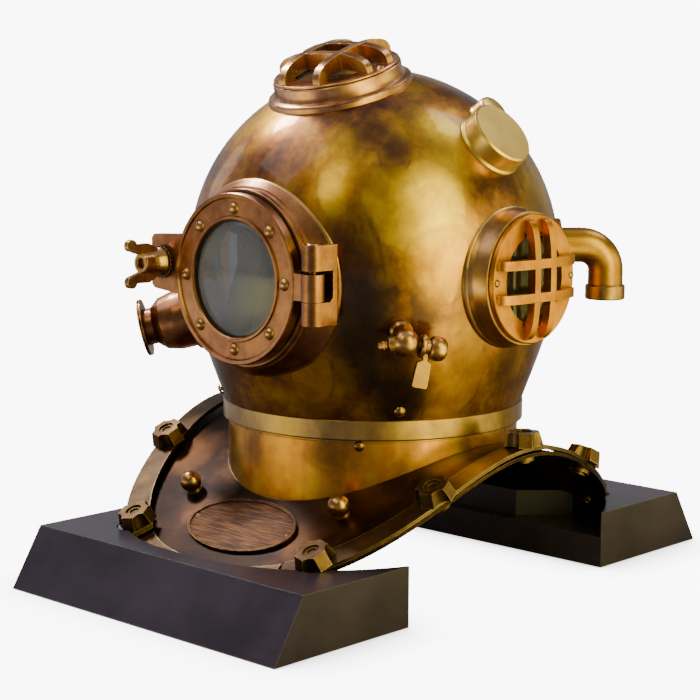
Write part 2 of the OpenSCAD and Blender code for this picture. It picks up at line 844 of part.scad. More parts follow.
module port_seal() {
    color([0.06, 0.06, 0.06]) front_facing() tube(66.1, 63.3, port_face - 1.95, port_face + 0.25);
}

// The solid of the port that the hinge and the catch are fitted to
module port_envelope() {
    front_facing() ring([
        [0, 100], [port_foot_r + seat_gap, 100], [port_foot_r + seat_gap, foot_edge],
        [foot_bend_r + seat_gap, foot_bend], [port_r + seat_gap, foot_end],
        [port_r + seat_gap, port_face], [0, port_face]
    ]);
}

knuckle_pass = 0.6;
hinge_back = 135.5;
module hinge_block() {
    face_x = pin_x + knuckle_r;
    color([0.66, 0.34, 0.14]) difference() {
        union() {
            translate([pin_x, -pin_y, hinge_z]) cylinder(r = knuckle_r, h = knuckle_low);
            translate([pin_x, -pin_y, up_z]) cylinder(r = knuckle_r, h = knuckle_up);
            translate([pin_x, -pin_y, hinge_z]) cube([knuckle_r, pin_y - hinge_back, hinge_h]);
            translate([60, -port_face + 1.6, hinge_z])
                cube([face_x - 60, port_face - 1.6 - hinge_back, hinge_h]);
        }
        port_envelope();
        dome_body(seat_gap);
        translate([pin_x, -pin_y, hinge_z - 1]) cylinder(r = pin_r + run_gap, h = hinge_h + 2);
        translate([pin_x, -pin_y, mid_z - gap_low])
            cylinder(r = knuckle_r + knuckle_pass, h = up_z - mid_z + gap_low);
        hinge_window();
    }
}

// The opening beside the door's knuckle, with its two lower corners cut off
module hinge_window() {
    z0 = mid_z - gap_low;
    depth = 12.5;
    translate([pin_x - knuckle_r - 10, -pin_y, 0]) rotate([90, 0, 90]) linear_extrude(40)
        polygon([
            [-20, z0], [depth - 3, z0], [depth, z0 + 3],
            [depth, up_z], [-20, up_z]
        ]);
}

module hinge_pin() {
    color([0.5, 0.35, 0.18]) translate([pin_x, -pin_y, 0]) {
        translate([0, 0, hinge_z - 0.8]) cylinder(r = pin_r, h = hinge_h + 0.8);
        translate([0, 0, hinge_z + hinge_h + 0.1]) dome_screw(5, 1.8, pin_r, 1);
    }
}

catch_back = 24;
catch_half = 14;
tail_r = 5.1;
module catch_bracket() {
    color([0.5, 0.28, 0.12]) difference() {
        translate([-clamp_x - 9, -lug_back + 3, clamp_z - catch_half])
            cube([30, catch_back, 2 * catch_half]);
        port_envelope();
        dome_body(seat_gap);
        translate([-clamp_x, -lug_back + 2, clamp_z]) rotate([-90, 0, 0]) cylinder(r = tail_r, h = 17);
        translate([-clamp_x, catch_pin_y, clamp_z]) cylinder(r = 2.3, h = 30);
    }
}

catch_pin_y = -137.5;
module catch_pin() {
    color([0.25, 0.18, 0.12]) translate([-clamp_x, catch_pin_y, clamp_z + catch_half + 0.1])
        dome_screw(4, 2.2, 2.2, catch_half - tail_r - 1);
}

// DOOR
module door_frame() {
    color([0.62, 0.36, 0.12]) difference() {
        union() {
            front_facing() ring([
                [door_glass_r + 0.2, door_back], [door_r - 0.8, door_back],
                [door_r, door_back + 0.8], [door_r, door_front - 1], [door_r - 0.8, door_front],
                [door_r - 3.5, door_front], [door_r - 4.3, recess_d], [door_open + 3.3, recess_d],
                [door_open + 2.8, door_front - 0.4], [door_open + 1, door_front - 0.4],
                [door_open, door_front - 1.4], [door_open, lip_back],
                [door_glass_r + 0.2, lip_back]
            ]);
            door_arm();
            door_lug();
        }
        translate([pin_x, -pin_y, mid_z - 1]) cylinder(r = pin_r + run_gap, h = knuckle_mid + 2);
        door_bolt_places() translate([0, 0, -2]) cylinder(r = 2.6, h = door_t + 4);
        translate([-clamp_x, -lug_back + 2, clamp_z]) rotate([90, 0, 0])
            cylinder(r = clamp_r + run_gap, h = lug_t + 4);
    }
}

module door_arm() {
    arm_t = 8.2;
    difference() {
        union() {
            translate([pin_x, -pin_y, mid_z]) cylinder(r = knuckle_r, h = knuckle_mid);
            translate([door_r - 12, -door_back - 0.4 - arm_t, mid_z])
                cube([pin_x - door_r + 12, arm_t, knuckle_mid]);
        }
        front_facing() cylinder(r = door_r - 2, h = huge);
    }
}

lug_left = 93.5;
lug_low = 21.4;
lug_high = 21.4;
module door_lug() {
    difference() {
        facing(0, 0, window_z) translate([0, 0, lug_back]) linear_extrude(lug_t) polygon([
            [-50, clamp_up - lug_low - 4], [-lug_left + 3, clamp_up - lug_low],
            [-lug_left, clamp_up - lug_low + 3], [-lug_left, clamp_up + lug_high - 3],
            [-lug_left + 3, clamp_up + lug_high], [-50, clamp_up + lug_high + 2]
        ]);
        front_facing() cylinder(r = door_r - 2, h = huge);
    }
}

module door_bolt_places() {
    front_facing() for (k = [0 : door_bolts_n - 1]) rotate([0, 0, k * 360 / door_bolts_n])
        translate([bolt_circle, 0, door_back]) children();
}

module door_bolts() {
    color([0.66, 0.45, 0.16]) door_bolt_places() translate([0, 0, recess_d - door_back + 0.1])
        dome_screw(bolt_head_r, bolt_head_h, 2.5, recess_d - door_back + retainer_t - 0.6);
}

module door_glass() {
    crown_r = door_open - 1.4;
    ball = (crown_r^2 + glass_bulge^2) / (2 * glass_bulge);
    edge_front = lip_back - glass_seal_t - 0.1;
    color([0.75, 0.8, 0.85, 0.4]) front_facing() union() {
        translate([0, 0, edge_front - door_glass_t]) cylinder(r = door_glass_r, h = door_glass_t);
        intersection() {
            translate([0, 0, edge_front - 1]) cylinder(r = crown_r, h = glass_bulge + 2);
            translate([0, 0, edge_front + glass_bulge - ball]) sphere(r = ball);
        }
    }
}

module glass_seal() {
    color([0.05, 0.05, 0.05]) front_facing()
        tube(door_glass_r, door_open - 1.2, lip_back - glass_seal_t - 0.05, lip_back - 0.05);
}

module glass_retainer() {
    glass_rear = lip_back - glass_seal_t - 0.1 - door_glass_t;
    color([0.55, 0.36, 0.14]) difference() {
        front_facing() ring([
            [43.5, door_back - retainer_t], [retainer_r, door_back - retainer_t],
            [retainer_r, door_back - 0.05], [door_glass_r - 0.2, door_back - 0.05],
            [door_glass_r - 0.2, glass_rear - 0.05], [43.5, glass_rear - 0.05]
        ]);
        door_bolt_places() translate([0, 0, -retainer_t - 1]) cylinder(r = 2.55, h = retainer_t + 3);
    }
}

// Turns +Z forwards along the clamp bolt, from the helmet's axis
module clamp_axis() {
    translate([-clamp_x, 0, clamp_z]) rotate([90, 0, 0]) children();
}

tail_end = 136;
bolt_collar_r = 6.6;
module clamp_bolt() {
    color([0.55, 0.42, 0.2]) clamp_axis() {
        translate([0, 0, tail_end]) cylinder(r = clamp_r, h = nut_base + hub_l - 4 - tail_end);
        translate([0, 0, lug_back - 2.3]) cylinder(r = bolt_collar_r, h = 2.2);
    }
}

module wing_washer() {
    color([0.3, 0.22, 0.12]) clamp_axis() translate([0, 0, lug_face + pass_gap]) difference() {
        cylinder(r = washer_r, h = washer_t);
        translate([0, 0, -1]) cylinder(r = clamp_r + 0.08, h = washer_t + 2);
        for (k = [0 : washer_flutes - 1]) rotate([0, 0, k * 360 / washer_flutes])
            translate([washer_r + 0.7, 0, -1]) cylinder(r = 1.3, h = washer_t + 2);
    }
}

// One wing: a rounded paddle that starts on the hub and runs forward
module wing() {
    paddle = 4.9;
    rotate([90, 0, 0]) translate([0, 0, -wing_t / 2]) linear_extrude(wing_t) polygon(concat(
        [[3, 1.5], [3, 9]],
        [for (a = [150 : -20 : -70])
            [14.2 + paddle * cos(a - 8), 3 + wing_l - paddle + paddle * sin(a - 8)]],
        [[15.4, 12], [12.5, 6], [9, 1.5]]
    ));
}

module wing_nut() {
    color([0.72, 0.55, 0.2]) clamp_axis() translate([0, 0, nut_base + 0.2]) difference() {
        union() {
            ring([
                [0, 0], [11.6, 0], [11.6, 1.2], [10.4, 3.5], [9.1, 7], [8.3, 11],
                [hub_r, hub_l - 0.8], [hub_r - 0.8, hub_l], [0, hub_l]
            ]);
            for (turn = [90, 270]) rotate([0, 0, turn]) wing();
        }
        translate([0, 0, -1]) cylinder(r = clamp_r + run_gap, h = hub_l + 2);
        translate([0, 0, hub_l - 0.9]) cylinder(r = clamp_r + 1, h = 2);
    }
}

// SIDE AND TOP WINDOWS
side_bead = 141.5;
top_bead = 142;
module window_body(seat, base, bead) {
    ring([
        [window_bore, seat - 26], [window_sleeve, seat - 26], [base, seat - 26],
        [base, bead], [base - 0.6, bead + 1.2], [base - 1.6, bead + 2],
        [body_r + 1.8, bead + 2.8], [body_r + 0.6, bead + 4.8], [body_r, bead + 7.4],
        [body_r, seat - 1], [body_r - 0.6, seat - 0.3], [guard_r - 1, seat],
        [glass_r + 0.2, seat], [glass_r + 0.2, seat - glass_back],
        [window_bore, seat - glass_back]
    ]);
}

// A window body, trimmed to the dome it stands on, with the sleeve through the dome
module side_window(side) {
    difference() {
        side_facing(side) window_body(side_seat, base_r, side_bead);
        difference() {
            dome_body(seat_gap);
            side_facing(side) cylinder(r = window_sleeve, h = huge);
        }
        side_facing(side) guard_screw_holes(side_seat, 1.65, 9);
    }
}

module left_window() {
    color([0.55, 0.42, 0.16]) side_window(1);
}

module right_window() {
    color([0.55, 0.42, 0.16]) side_window(-1);
}

module top_window() {
    color([0.55, 0.36, 0.14]) difference() {
        top_facing() window_body(top_seat, top_base_r, top_bead);
        difference() {
            translate([0, 0, dome_z]) rotate([90, 0, 0]) sphere(r = dome_r + seat_gap, $fn = 240);
            top_facing() cylinder(r = window_sleeve, h = huge);
        }
        top_facing() guard_screw_holes(top_seat, 1.65, 9);
    }
}

module window_glass(seat) {
    translate([0, 0, seat - glass_back + 0.05]) cylinder(r = glass_r, h = glass_t);
}

module left_glass() {
    color([0.6, 0.68, 0.7, 0.4]) side_facing(1) window_glass(side_seat);
}

module right_glass() {
    color([0.6, 0.68, 0.7, 0.4]) side_facing(-1) window_glass(side_seat);
}

module top_glass() {
    color([0.6, 0.68, 0.7, 0.4]) top_facing() window_glass(top_seat);
}

module window_seals() {
    color([0.2, 0.13, 0.08]) {
        for (side = [-1, 1]) side_facing(side) window_seal(side_seat);
        top_facing() window_seal(top_seat);
    }
}

module window_seal(seat) {
    tube(glass_r, window_bore, seat - 1.4, seat - 0.05);
}

// GUARDS
// Distance of a guard's two screws from the window's axis
screw_at = 45.4;
module guard_screw_holes(seat, r, deep) {
    for (x = [-screw_at, screw_at]) translate([x, 0, seat - deep])
        cylinder(r = r, h = deep + guard_t + 2);
}

// The outline of one arched bar, seen from its side
bar_half = 45.6;
bar_end = 9.5;
bar_shape = 2.7;
function arch(half, rise, n = 20) = [
    for (i = [0 : n]) let(a = 180 * i / n)
        [half * power(cos(a), 2 / bar_shape), rise * abs(sin(a))^(2 / bar_shape)]
];
module guard_bar(wide, rise) {
    rotate([90, 0, 0]) translate([0, 0, -wide / 2]) linear_extrude(wide) difference() {
        polygon(concat([[bar_half, -0.5]], arch(bar_half, rise), [[-bar_half, -0.5]]));
        polygon(concat(
            [[bar_half - bar_end, -2]],
            arch(bar_half - bar_end, bar_under),
            [[-bar_half + bar_end, -2]]
        ));
    }
}

// A pair of bars at the same distance on both sides of the window's axis
module bar_pair(turn, offset, wide, rise, z) {
    for (side = [-1, 1]) rotate([0, 0, turn]) translate([0, side * offset, z])
        guard_bar(wide, rise);
}

module guard_plate(seat, r, t) {
    ring([
        [guard_hole, seat + seat_gap], [r - 0.5, seat + seat_gap], [r, seat + 0.6],
        [r, seat + t - 0.9], [r - 0.9, seat + t], [guard_hole, seat + t]
    ]);
}

module side_guard() {
    difference() {
        union() {
            guard_plate(side_seat, guard_r, guard_t);
            bar_pair(0, level_bar_offset, level_bar_w, bar_rise, side_seat + guard_t);
            bar_pair(90, upright_bar_offset, bar_w, bar_rise, side_seat + guard_t);
        }
        guard_screw_holes(side_seat, 1.7, 1);
    }
}

module left_guard() {
    color([0.75, 0.55, 0.2]) side_facing(1) side_guard();
}

module right_guard() {
    color([0.75, 0.55, 0.2]) side_facing(-1) side_guard();
}

module top_guard() {
    color([0.55, 0.38, 0.15]) top_facing() difference() {
        union() {
            guard_plate(top_seat, top_guard_r, top_guard_t);
            bar_pair(0, cross_bar_offset, bar_w, top_bar_rise, top_seat + top_guard_t);
            bar_pair(90, long_bar_offset, bar_w, top_bar_rise, top_seat + top_guard_t);
        }
        guard_screw_holes(top_seat, 1.7, 1);
    }
}

module guard_screws() {
    color([0.6, 0.45, 0.2]) {
        for (side = [-1, 1], x = [-screw_at, screw_at]) side_facing(side)
            translate([x, 0, side_seat + guard_t + 0.05]) dome_screw(3, 1.7, 1.6, guard_t + 7);
        for (x = [-screw_at, screw_at]) top_facing()
            translate([x, 0, top_seat + top_guard_t + 0.05])
                dome_screw(3, 1.7, 1.6, top_guard_t + 7);
    }
}

// TELEPHONE CUP
cup_bore = 21;
cup_wall = 4;
lobe_r = 13.2;
lobe_at = [15.4, 25.7];
lobe_d = cup_d - 5;
module telephone_cup() {
    color([0.7, 0.52, 0.2]) difference() {
        facing(cup_az, cup_up, dome_z) union() {
            ring([
                [0, dome_r - 20], [cup_r + 1.2, dome_r - 20], [cup_r + 1.2, dome_r - 1.5],
                [cup_r, dome_r + 0.5], [cup_r, cup_d - 1.4], [cup_r - 1.4, cup_d], [0, cup_d]
            ]);
            translate([lobe_at[0], lobe_at[1], 0]) ring([
                [0, dome_r - 20], [lobe_r + 0.8, dome_r - 20], [lobe_r + 0.8, dome_r - 3],
                [lobe_r, dome_r - 1],
                [lobe_r, lobe_d - 3], [lobe_r - 0.9, lobe_d - 0.9], [lobe_r - 3, lobe_d], [0, lobe_d]
            ]);
        }
        dome_body(seat_gap);
        facing(cup_az, cup_up, dome_z) cylinder(r = cup_bore, h = cup_d - cup_wall);
    }
}

receiver_in = cup_d - cup_wall - 15;
module telephone_receiver() {
    color([0.12, 0.12, 0.13]) facing(cup_az, cup_up, dome_z) difference() {
        ring([
            [0, receiver_in], [cup_bore - 0.3, receiver_in], [cup_bore - 0.3, receiver_in + 10],
            [cup_bore - 6, cup_d - cup_wall - 0.2], [0, cup_d - cup_wall - 0.2]
        ]);
        for (k = [0 : 5]) rotate([0, 0, k * 60]) translate([9, 0, receiver_in - 1])
            cylinder(r = 2, h = 4);
        translate([0, 0, receiver_in - 1]) cylinder(r = 2, h = 4);
    }
}

// ELBOWS
elbow_flange_r = 22;
elbow_screw_r = 18.9;
elbow_in = 138;
module elbow_core(r, inner) {
    axis_d = elbow_reach - bend_r;
    translate([0, 0, inner]) cylinder(r = r, h = axis_d - inner);
    translate([0, -bend_r, axis_d]) rotate([0, 90, 0]) rotate([0, 0, 90])
        rotate_extrude(angle = 90) translate([bend_r, 0]) circle(r = r);
    translate([0, -bend_r, elbow_reach]) rotate([90, 0, 0])
        cylinder(r = r, h = elbow_fall - bend_r - end_h / 2);
}

module elbow(side) {
    difference() {
        facing(side * elbow_az, 0, dome_z + elbow_up) difference() {
            union() {
                elbow_core(pipe_r, elbow_in);
                translate([0, 0, 140]) cylinder(r = elbow_flange_r, h = 12);
                translate([0, 0, 152]) cylinder(r1 = pipe_r + 1, r2 = pipe_r, h = 2);
            }
            elbow_core(pipe_r - pipe_wall, elbow_in - 1);
            for (k = [0 : 3]) rotate([0, 0, k * 90]) translate([elbow_screw_r, 0, 145])
                cylinder(r = 1.65, h = 20);
        }
        difference() {
            dome_body(seat_gap);
            facing(side * elbow_az, 0, dome_z + elbow_up) cylinder(r = pipe_r, h = huge);
        }
        facing(side * elbow_az, 0, dome_z + elbow_up) translate([0, -elbow_fall - 40, elbow_reach])
            rotate([-90, 0, 0]) cylinder(r = pipe_r - pipe_wall, h = 60);
    }
}

module left_elbow() {
    color([0.62, 0.48, 0.18]) elbow(1);
}

module right_elbow() {
    color([0.62, 0.48, 0.18]) elbow(-1);
}

// The threaded collar on an elbow's mouth, with its hose thread opening down
module end_collar(side) {
    az = side * elbow_az;
    top = dome_z + elbow_up - elbow_fall + end_h;
    translate([elbow_reach * sin(az), -elbow_reach * cos(az), 0]) ring([
        [hose_r, top - end_h], [end_r - 1, top - end_h], [end_r, top - end_h + 1],
        [end_r, top - 1], [end_r - 1, top], [pipe_r + seat_gap, top],
        [pipe_r + seat_gap, top - end_h / 2 - 0.1], [hose_r, top - end_h / 2 - 0.1]
    ]);
}

module left_end_collar() {
    color([0.55, 0.42, 0.18]) end_collar(1);
}

module right_end_collar() {
    color([0.55, 0.42, 0.18]) end_collar(-1);
}

module elbow_screws() {
    color([0.6, 0.45, 0.2]) for (side = [-1, 1]) facing(side * elbow_az, 0, dome_z + elbow_up)
        for (k = [0 : 3]) rotate([0, 0, k * 90]) translate([elbow_screw_r, 0, 152.1])
            dome_screw(2.9, 1.8, 1.6, 2.2);
}

// SPITCOCK
cock_tube_r = 4;
cock_tilt = 12;
cock_stem_r = 7.2;
shaft_r = 3;
shaft_in = 7;
collar_at = cock_r + 1;
module cock_frame() {
    facing(cock_az, -cock_dip, dome_z) children();
}

// Turns +Z along the plug's axis, away from the spout
module plug_axis() {
    cock_frame() translate([0, 0, cock_d]) rotate([0, 0, -cock_tilt]) rotate([0, 90, 0]) children();
}

module spitcock_body() {
    color([0.7, 0.45, 0.15]) union() {
        difference() {
            cock_frame() union() {
                ring([
                    [0, dome_r - 12], [cock_stem_r + 1.6, dome_r - 12],
                    [cock_stem_r + 1.6, dome_r + 2.6], [cock_stem_r + 1, dome_r + 3.6],
                    [cock_stem_r, dome_r + 5], [cock_stem_r, cock_d - 5], [0, cock_d - 5]
                ]);
                translate([0, 0, cock_d]) sphere(r = cock_r);
            }
            difference() {
                dome_body(seat_gap);
                cock_frame() cylinder(r = cock_tube_r, h = huge);
            }
            plug_axis() translate([0, 0, -shaft_in]) cylinder(r = shaft_r + run_gap, h = 60);
        }
        spout();
    }
}

// The short grooved outlet on the ball's forward side, turned a little down
spout_dip = 8;
spout_bore = 1.7;
module spout() {
    cock_frame() translate([0, 0, cock_d]) rotate([0, 0, spout_dip]) rotate([0, -90, 0]) ring([
        [spout_bore, cock_r - 2.4], [6.6, cock_r - 2.4], [6.6, cock_r + 1.6],
        [5.9, cock_r + 2.2], [3.4, cock_r + 2.4], [4.2, cock_r + 4], [3.4, cock_r + 5],
        [4.2, cock_r + 6.4], [3.2, cock_r + 7.4], [3.4, cock_r + 9.4], [2.6, cock_r + 10],
        [spout_bore, cock_r + 10]
    ]);
}

module spitcock_plug() {
    color([0.66, 0.4, 0.14]) plug_axis() union() {
        translate([0, 0, 0.3 - shaft_in]) cylinder(r = shaft_r, h = shaft_in + knob_at);
        translate([0, 0, collar_at]) ring([
            [0, 0], [8.4, 0], [9, 0.8], [9, 2.6], [8.2, 3.4], [0, 3.4]
        ]);
        translate([0, 0, knob_at]) ring([
            [0, 0], [knob_r - 2.4, 0], [knob_r - 0.7, 1.6], [knob_r, 4.4], [knob_r, 7.6],
            [knob_r - 0.8, 10.4], [knob_r - 2.6, 12.2], [knob_r - 5, 13], [0, 13]
        ]);
    }
}

// A lever that hangs from the plug between collar and knob, and widens to a paddle below them
lever_t = 3.6;
lever_w = 4.4;
lever_at = collar_at + 3.5;
lever_turn = -90 - cock_dip;
knob_at = lever_at + lever_t + 0.1;
module spitcock_lever() {
    color([0.72, 0.48, 0.16]) plug_axis() translate([0, 0, lever_at]) difference() {
        union() {
            cylinder(r = 5.6, h = lever_t);
            rotate([0, 0, lever_turn]) rotate([90, 0, 0]) translate([0, 0, -lever_w / 2])
                linear_extrude(lever_w) polygon([
                    [0, 0.3], [knob_r + 1, 0.3], [knob_r + 3, -3.4], [lever_l - 1.2, -4],
                    [lever_l, -3], [lever_l, lever_t + 3], [lever_l - 1.2, lever_t + 4],
                    [knob_r + 3, lever_t + 3.4], [knob_r + 1, lever_t - 0.3], [0, lever_t - 0.3]
                ]);
        }
        translate([0, 0, -1]) cylinder(r = shaft_r + seat_gap, h = lever_t + 2);
    }
}

// EXHAUST VALVE
valve_tube_r = 17;
valve_bore = 10;
stem_r = 2.6;
module valve_frame() {
    facing(valve_az, -valve_dip, dome_z - valve_drop) children();
}

disc_at = 158;
neck_end = wheel_d - 3.2;
module exhaust_body() {
    color([0.5, 0.34, 0.15]) difference() {
        valve_frame() difference() {
            ring([
                [0, 138], [valve_tube_r, 138], [valve_tube_r, 140], [valve_r + 3, 140],
                [valve_r + 3, 151], [valve_r + 1.6, 152.4], [valve_r, 153.4], [valve_r, 165],
                [valve_r - 0.6, 168], [valve_r - 3, 177.5], [valve_neck_r + 1.2, 183.4],
                [valve_neck_r, 184.6], [valve_neck_r, neck_end], [0, neck_end]
            ]);
            translate([0, 0, 137]) cylinder(r = valve_bore, h = 20);
            translate([0, 0, 137]) cylinder(r = 14, h = 13);
            translate([0, 0, 154.3]) cylinder(r = valve_tube_r, h = 18);
            translate([0, 0, 172]) cylinder(r = 10.5, h = 40);
        }
        difference() {
            dome_body(seat_gap);
            valve_frame() cylinder(r = valve_tube_r, h = huge);
        }
    }
}

// Two thin discs on a hub, with the screw that runs into the valve's neck
module exhaust_wheel() {
    color([0.5, 0.34, 0.16]) valve_frame() difference() {
        ring([
            [0, 176], [10.4, 176], [10.4, neck_end + pass_gap], [wheel_r, neck_end + pass_gap],
            [wheel_r, neck_end + 1.4], [wheel_r - 4, neck_end + 1.4], [wheel_r - 4, neck_end + 2],
            [wheel_r, neck_end + 2], [wheel_r, wheel_d], [0, wheel_d]
        ]);
        translate([0, 0, 175]) cylinder(r = stem_r + run_gap, h = 13);
    }
}

module exhaust_stem() {
    color([0.6, 0.45, 0.2]) valve_frame() union() {
        translate([0, 0, 130]) cylinder(r = stem_r, h = 50);
        translate([0, 0, 127]) ring([
            [0, 0], [14.5, 0], [15.5, 1], [15.5, 2.6], [13, 4], [0, 4]
        ]);
        translate([0, 0, disc_at - 3.4]) ring([
            [0, 0], [12, 0], [13, 0.8], [13, 2.4], [6, 3.4], [0, 3.4]
        ]);
    }
}

front_plinth();
rear_plinth();
front_support();
rear_support();
breastplate();
neck_collar();
lower_ring();
neck_gasket();
front_strap();
rear_strap();
left_strap();
right_strap();
strap_studs();
star_nuts();
ball_studs();
oval_plate();
plate_rivets();
collar_screws();
bonnet_shell();
bonnet_ring();
ring_screws();
front_port();
hinge_block();
hinge_pin();
catch_bracket();
catch_pin();
port_seal();
door_frame();
door_glass();
glass_seal();
glass_retainer();
door_bolts();
clamp_bolt();
wing_washer();
wing_nut();
left_window();
right_window();
top_window();
left_glass();
right_glass();
top_glass();
window_seals();
left_guard();
right_guard();
top_guard();
guard_screws();
telephone_cup();
telephone_receiver();
left_elbow();
right_elbow();
left_end_collar();
right_end_collar();
elbow_screws();
spitcock_body();
spitcock_plug();
spitcock_lever();
exhaust_body();
exhaust_wheel();
exhaust_stem();
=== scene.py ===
"""A closed diving helmet on its two display plinths: studio, camera, materials and surface work."""
import bpy
import json
import math
from mathutils import Matrix, Vector

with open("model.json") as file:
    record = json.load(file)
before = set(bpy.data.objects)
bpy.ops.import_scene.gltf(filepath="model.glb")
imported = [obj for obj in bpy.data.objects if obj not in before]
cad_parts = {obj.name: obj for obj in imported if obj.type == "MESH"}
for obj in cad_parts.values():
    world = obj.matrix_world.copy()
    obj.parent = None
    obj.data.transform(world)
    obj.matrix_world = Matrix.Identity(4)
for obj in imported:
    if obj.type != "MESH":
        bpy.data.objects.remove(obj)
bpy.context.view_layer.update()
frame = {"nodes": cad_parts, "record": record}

NODES = frame["nodes"]

# Camera

CAM_PLACE = Vector((1.03607, -1.12937, 0.40122))
CAM_RIGHT = Vector((0.727874, 0.685689, 0.005408))
CAM_UP = Vector((-0.102229, 0.100714, 0.989649))
LENS = 96.787  # mm, on a sensor of
SENSOR = 36  # mm
SEEN_FROM, SEEN_TO = 0.05, 50


def make_camera():
    """The photograph's place, angle and lens, as fitted to the plinths and the round parts."""
    data = bpy.data.cameras.new("camera")
    data.lens = LENS
    data.sensor_width = SENSOR
    data.clip_start, data.clip_end = SEEN_FROM, SEEN_TO
    cam = bpy.data.objects.new("camera", data)
    bpy.context.scene.collection.objects.link(cam)
    back = CAM_RIGHT.cross(CAM_UP)
    turn = Matrix((CAM_RIGHT, CAM_UP, back)).transposed()
    cam.matrix_world = Matrix.Translation(CAM_PLACE) @ turn.to_4x4()
    bpy.context.scene.camera = cam


make_camera()

# Node helpers


def feed(tree, node, inputs):
    """Links sockets and sets constants on a node's inputs, by name or number."""
    for key, value in inputs.items():
        if isinstance(value, bpy.types.NodeSocket):
            tree.links.new(value, node.inputs[key])
        else:
            node.inputs[key].default_value = value


def put(tree, kind, inputs=None, **settings):
    """Adds a node; inputs are constants or sockets, by name or number."""
    n = tree.nodes.new(kind)
    for key, value in settings.items():
        setattr(n, key, value)
    feed(tree, n, inputs or {})
    return n


def maths(tree, op, a, b=0.0):
    return put(tree, "ShaderNodeMath", {0: a, 1: b}, operation=op).outputs[0]


def vector(tree, op, a, b=(0, 0, 0)):
    return put(tree, "ShaderNodeVectorMath", {0: a, 1: b}, operation=op).outputs[0]


def remap(tree, value, lo, hi, to_lo=0.0, to_hi=1.0, smooth=False):
    kind = "SMOOTHSTEP" if smooth else "LINEAR"
    return put(tree, "ShaderNodeMapRange", {
        "Value": value, "From Min": lo, "From Max": hi, "To Min": to_lo, "To Max": to_hi,
    }, interpolation_type=kind, clamp=True).outputs["Result"]


def blend(tree, factor, a, b, mode="MIX"):
    """Mixes colours; 0, 6, 7 and 2 are the mix node's factor, two colours and result."""
    n = put(tree, "ShaderNodeMix", data_type="RGBA", blend_type=mode)
    feed(tree, n, {0: factor, 6: a, 7: b})
    return n.outputs[2]


def ramp(tree, factor, stops):
    n = put(tree, "ShaderNodeValToRGB", {"Fac": factor})
    band = n.color_ramp
    while len(band.elements) < len(stops):
        band.elements.new(0.5)
    for element, (place, colour) in zip(band.elements, stops):
        element.position = place
        element.color = (*colour, 1)
    return n.outputs["Color"]


def group(name, inputs, outputs):
    """A shader node group with typed sockets; returns (tree, input node, output node)."""
    tree = bpy.data.node_groups.new(name, "ShaderNodeTree")
    for label, kind, default in inputs:
        s = tree.interface.new_socket(name=label, in_out="INPUT", socket_type=kind)
        s.default_value = default
    for label, kind in outputs:
        tree.interface.new_socket(name=label, in_out="OUTPUT", socket_type=kind)
    return tree, tree.nodes.new("NodeGroupInput"), tree.nodes.new("NodeGroupOutput")


def use(tree, grp, inputs=None):
    n = tree.nodes.new("ShaderNodeGroup")
    n.node_tree = grp
    feed(tree, n, inputs or {})
    return n


def give(tree, group_output, values):
    for label, value in values.items():
        tree.links.new(value, group_output.inputs[label])


def here(tree):
    """The place on the piece, in metres; every piece shares the helmet's own frame."""
    return put(tree, "ShaderNodeTexCoord").outputs["Object"]


def stretched(tree, place, scale):
    return put(tree, "ShaderNodeMapping", {"Vector": place, "Scale": scale}).outputs[0]


FLOAT, COLOUR, VECTOR = "NodeSocketFloat", "NodeSocketColor", "NodeSocketVector"


def noise(tree, place, scale, detail=4.0, rough=0.55, twist=0.0, four=None):
    inputs = {"Vector": place, "Scale": scale, "Detail": detail, "Roughness": rough, "Distortion": twist}
    if four is not None:
        inputs["W"] = four
    return put(tree, "ShaderNodeTexNoise", inputs,
               noise_dimensions="4D" if four is not None else "3D").outputs["Fac"]


# Shared effects

# How much finer than the clouds the other marks are
FLECK_SCALE, RUN_SCALE, SMOKE_SCALE = 8.0, 2.2, 2.5
DOWN_THE_SHEET = (1.0, 1.0, 0.3)
EDGE_SAMPLES, CORNER_SAMPLES, BEVEL_SAMPLES = 6, 6, 5
CHIP_SCALE, CHIP_SHARE = 160.0, 0.5
BEVEL_SHARE = 0.55  # of the edge width
RUB_SCALE, SHEEN_SCALE = 60.0, 26.0
RUB_WAYS = (((0.3, 0.0, 0.4), (1.0, 14.0, 1.0)), ((1.1, 0.5, 0.0), (1.0, 1.0, 11.0)))
RAG_SCALE = 24.0
RAG_STRETCH = (1.0, 1.0, 0.5)


def make_mottle():
    """Heat and chemical patina: broad clouds, small flecks, runs down the sheet and smoky stains."""
    t, gi, go = group("patina clouds",
                      [("Scale", FLOAT, 9.0), ("Seed", FLOAT, 0.0)],
                      [("Clouds", FLOAT), ("Flecks", FLOAT), ("Runs", FLOAT), ("Smoke", FLOAT)])
    place = here(t)
    size, seed = gi.outputs["Scale"], gi.outputs["Seed"]
    clouds = noise(t, place, size, 7.0, 0.62, 0.3, seed)
    flecks = noise(t, place, maths(t, "MULTIPLY", size, FLECK_SCALE), 5.0, 0.62, 0.3, seed)
    tall = stretched(t, place, DOWN_THE_SHEET)
    runs = noise(t, tall, maths(t, "MULTIPLY", size, RUN_SCALE), 4.0, 0.55, 0.6, seed)
    other_seed = maths(t, "ADD", seed, 5.0)
    smoke = noise(t, place, maths(t, "MULTIPLY", size, SMOKE_SCALE), 8.0, 0.64, 0.5, other_seed)
    give(t, go, {"Clouds": clouds, "Flecks": flecks, "Runs": runs, "Smoke": smoke})
    return t


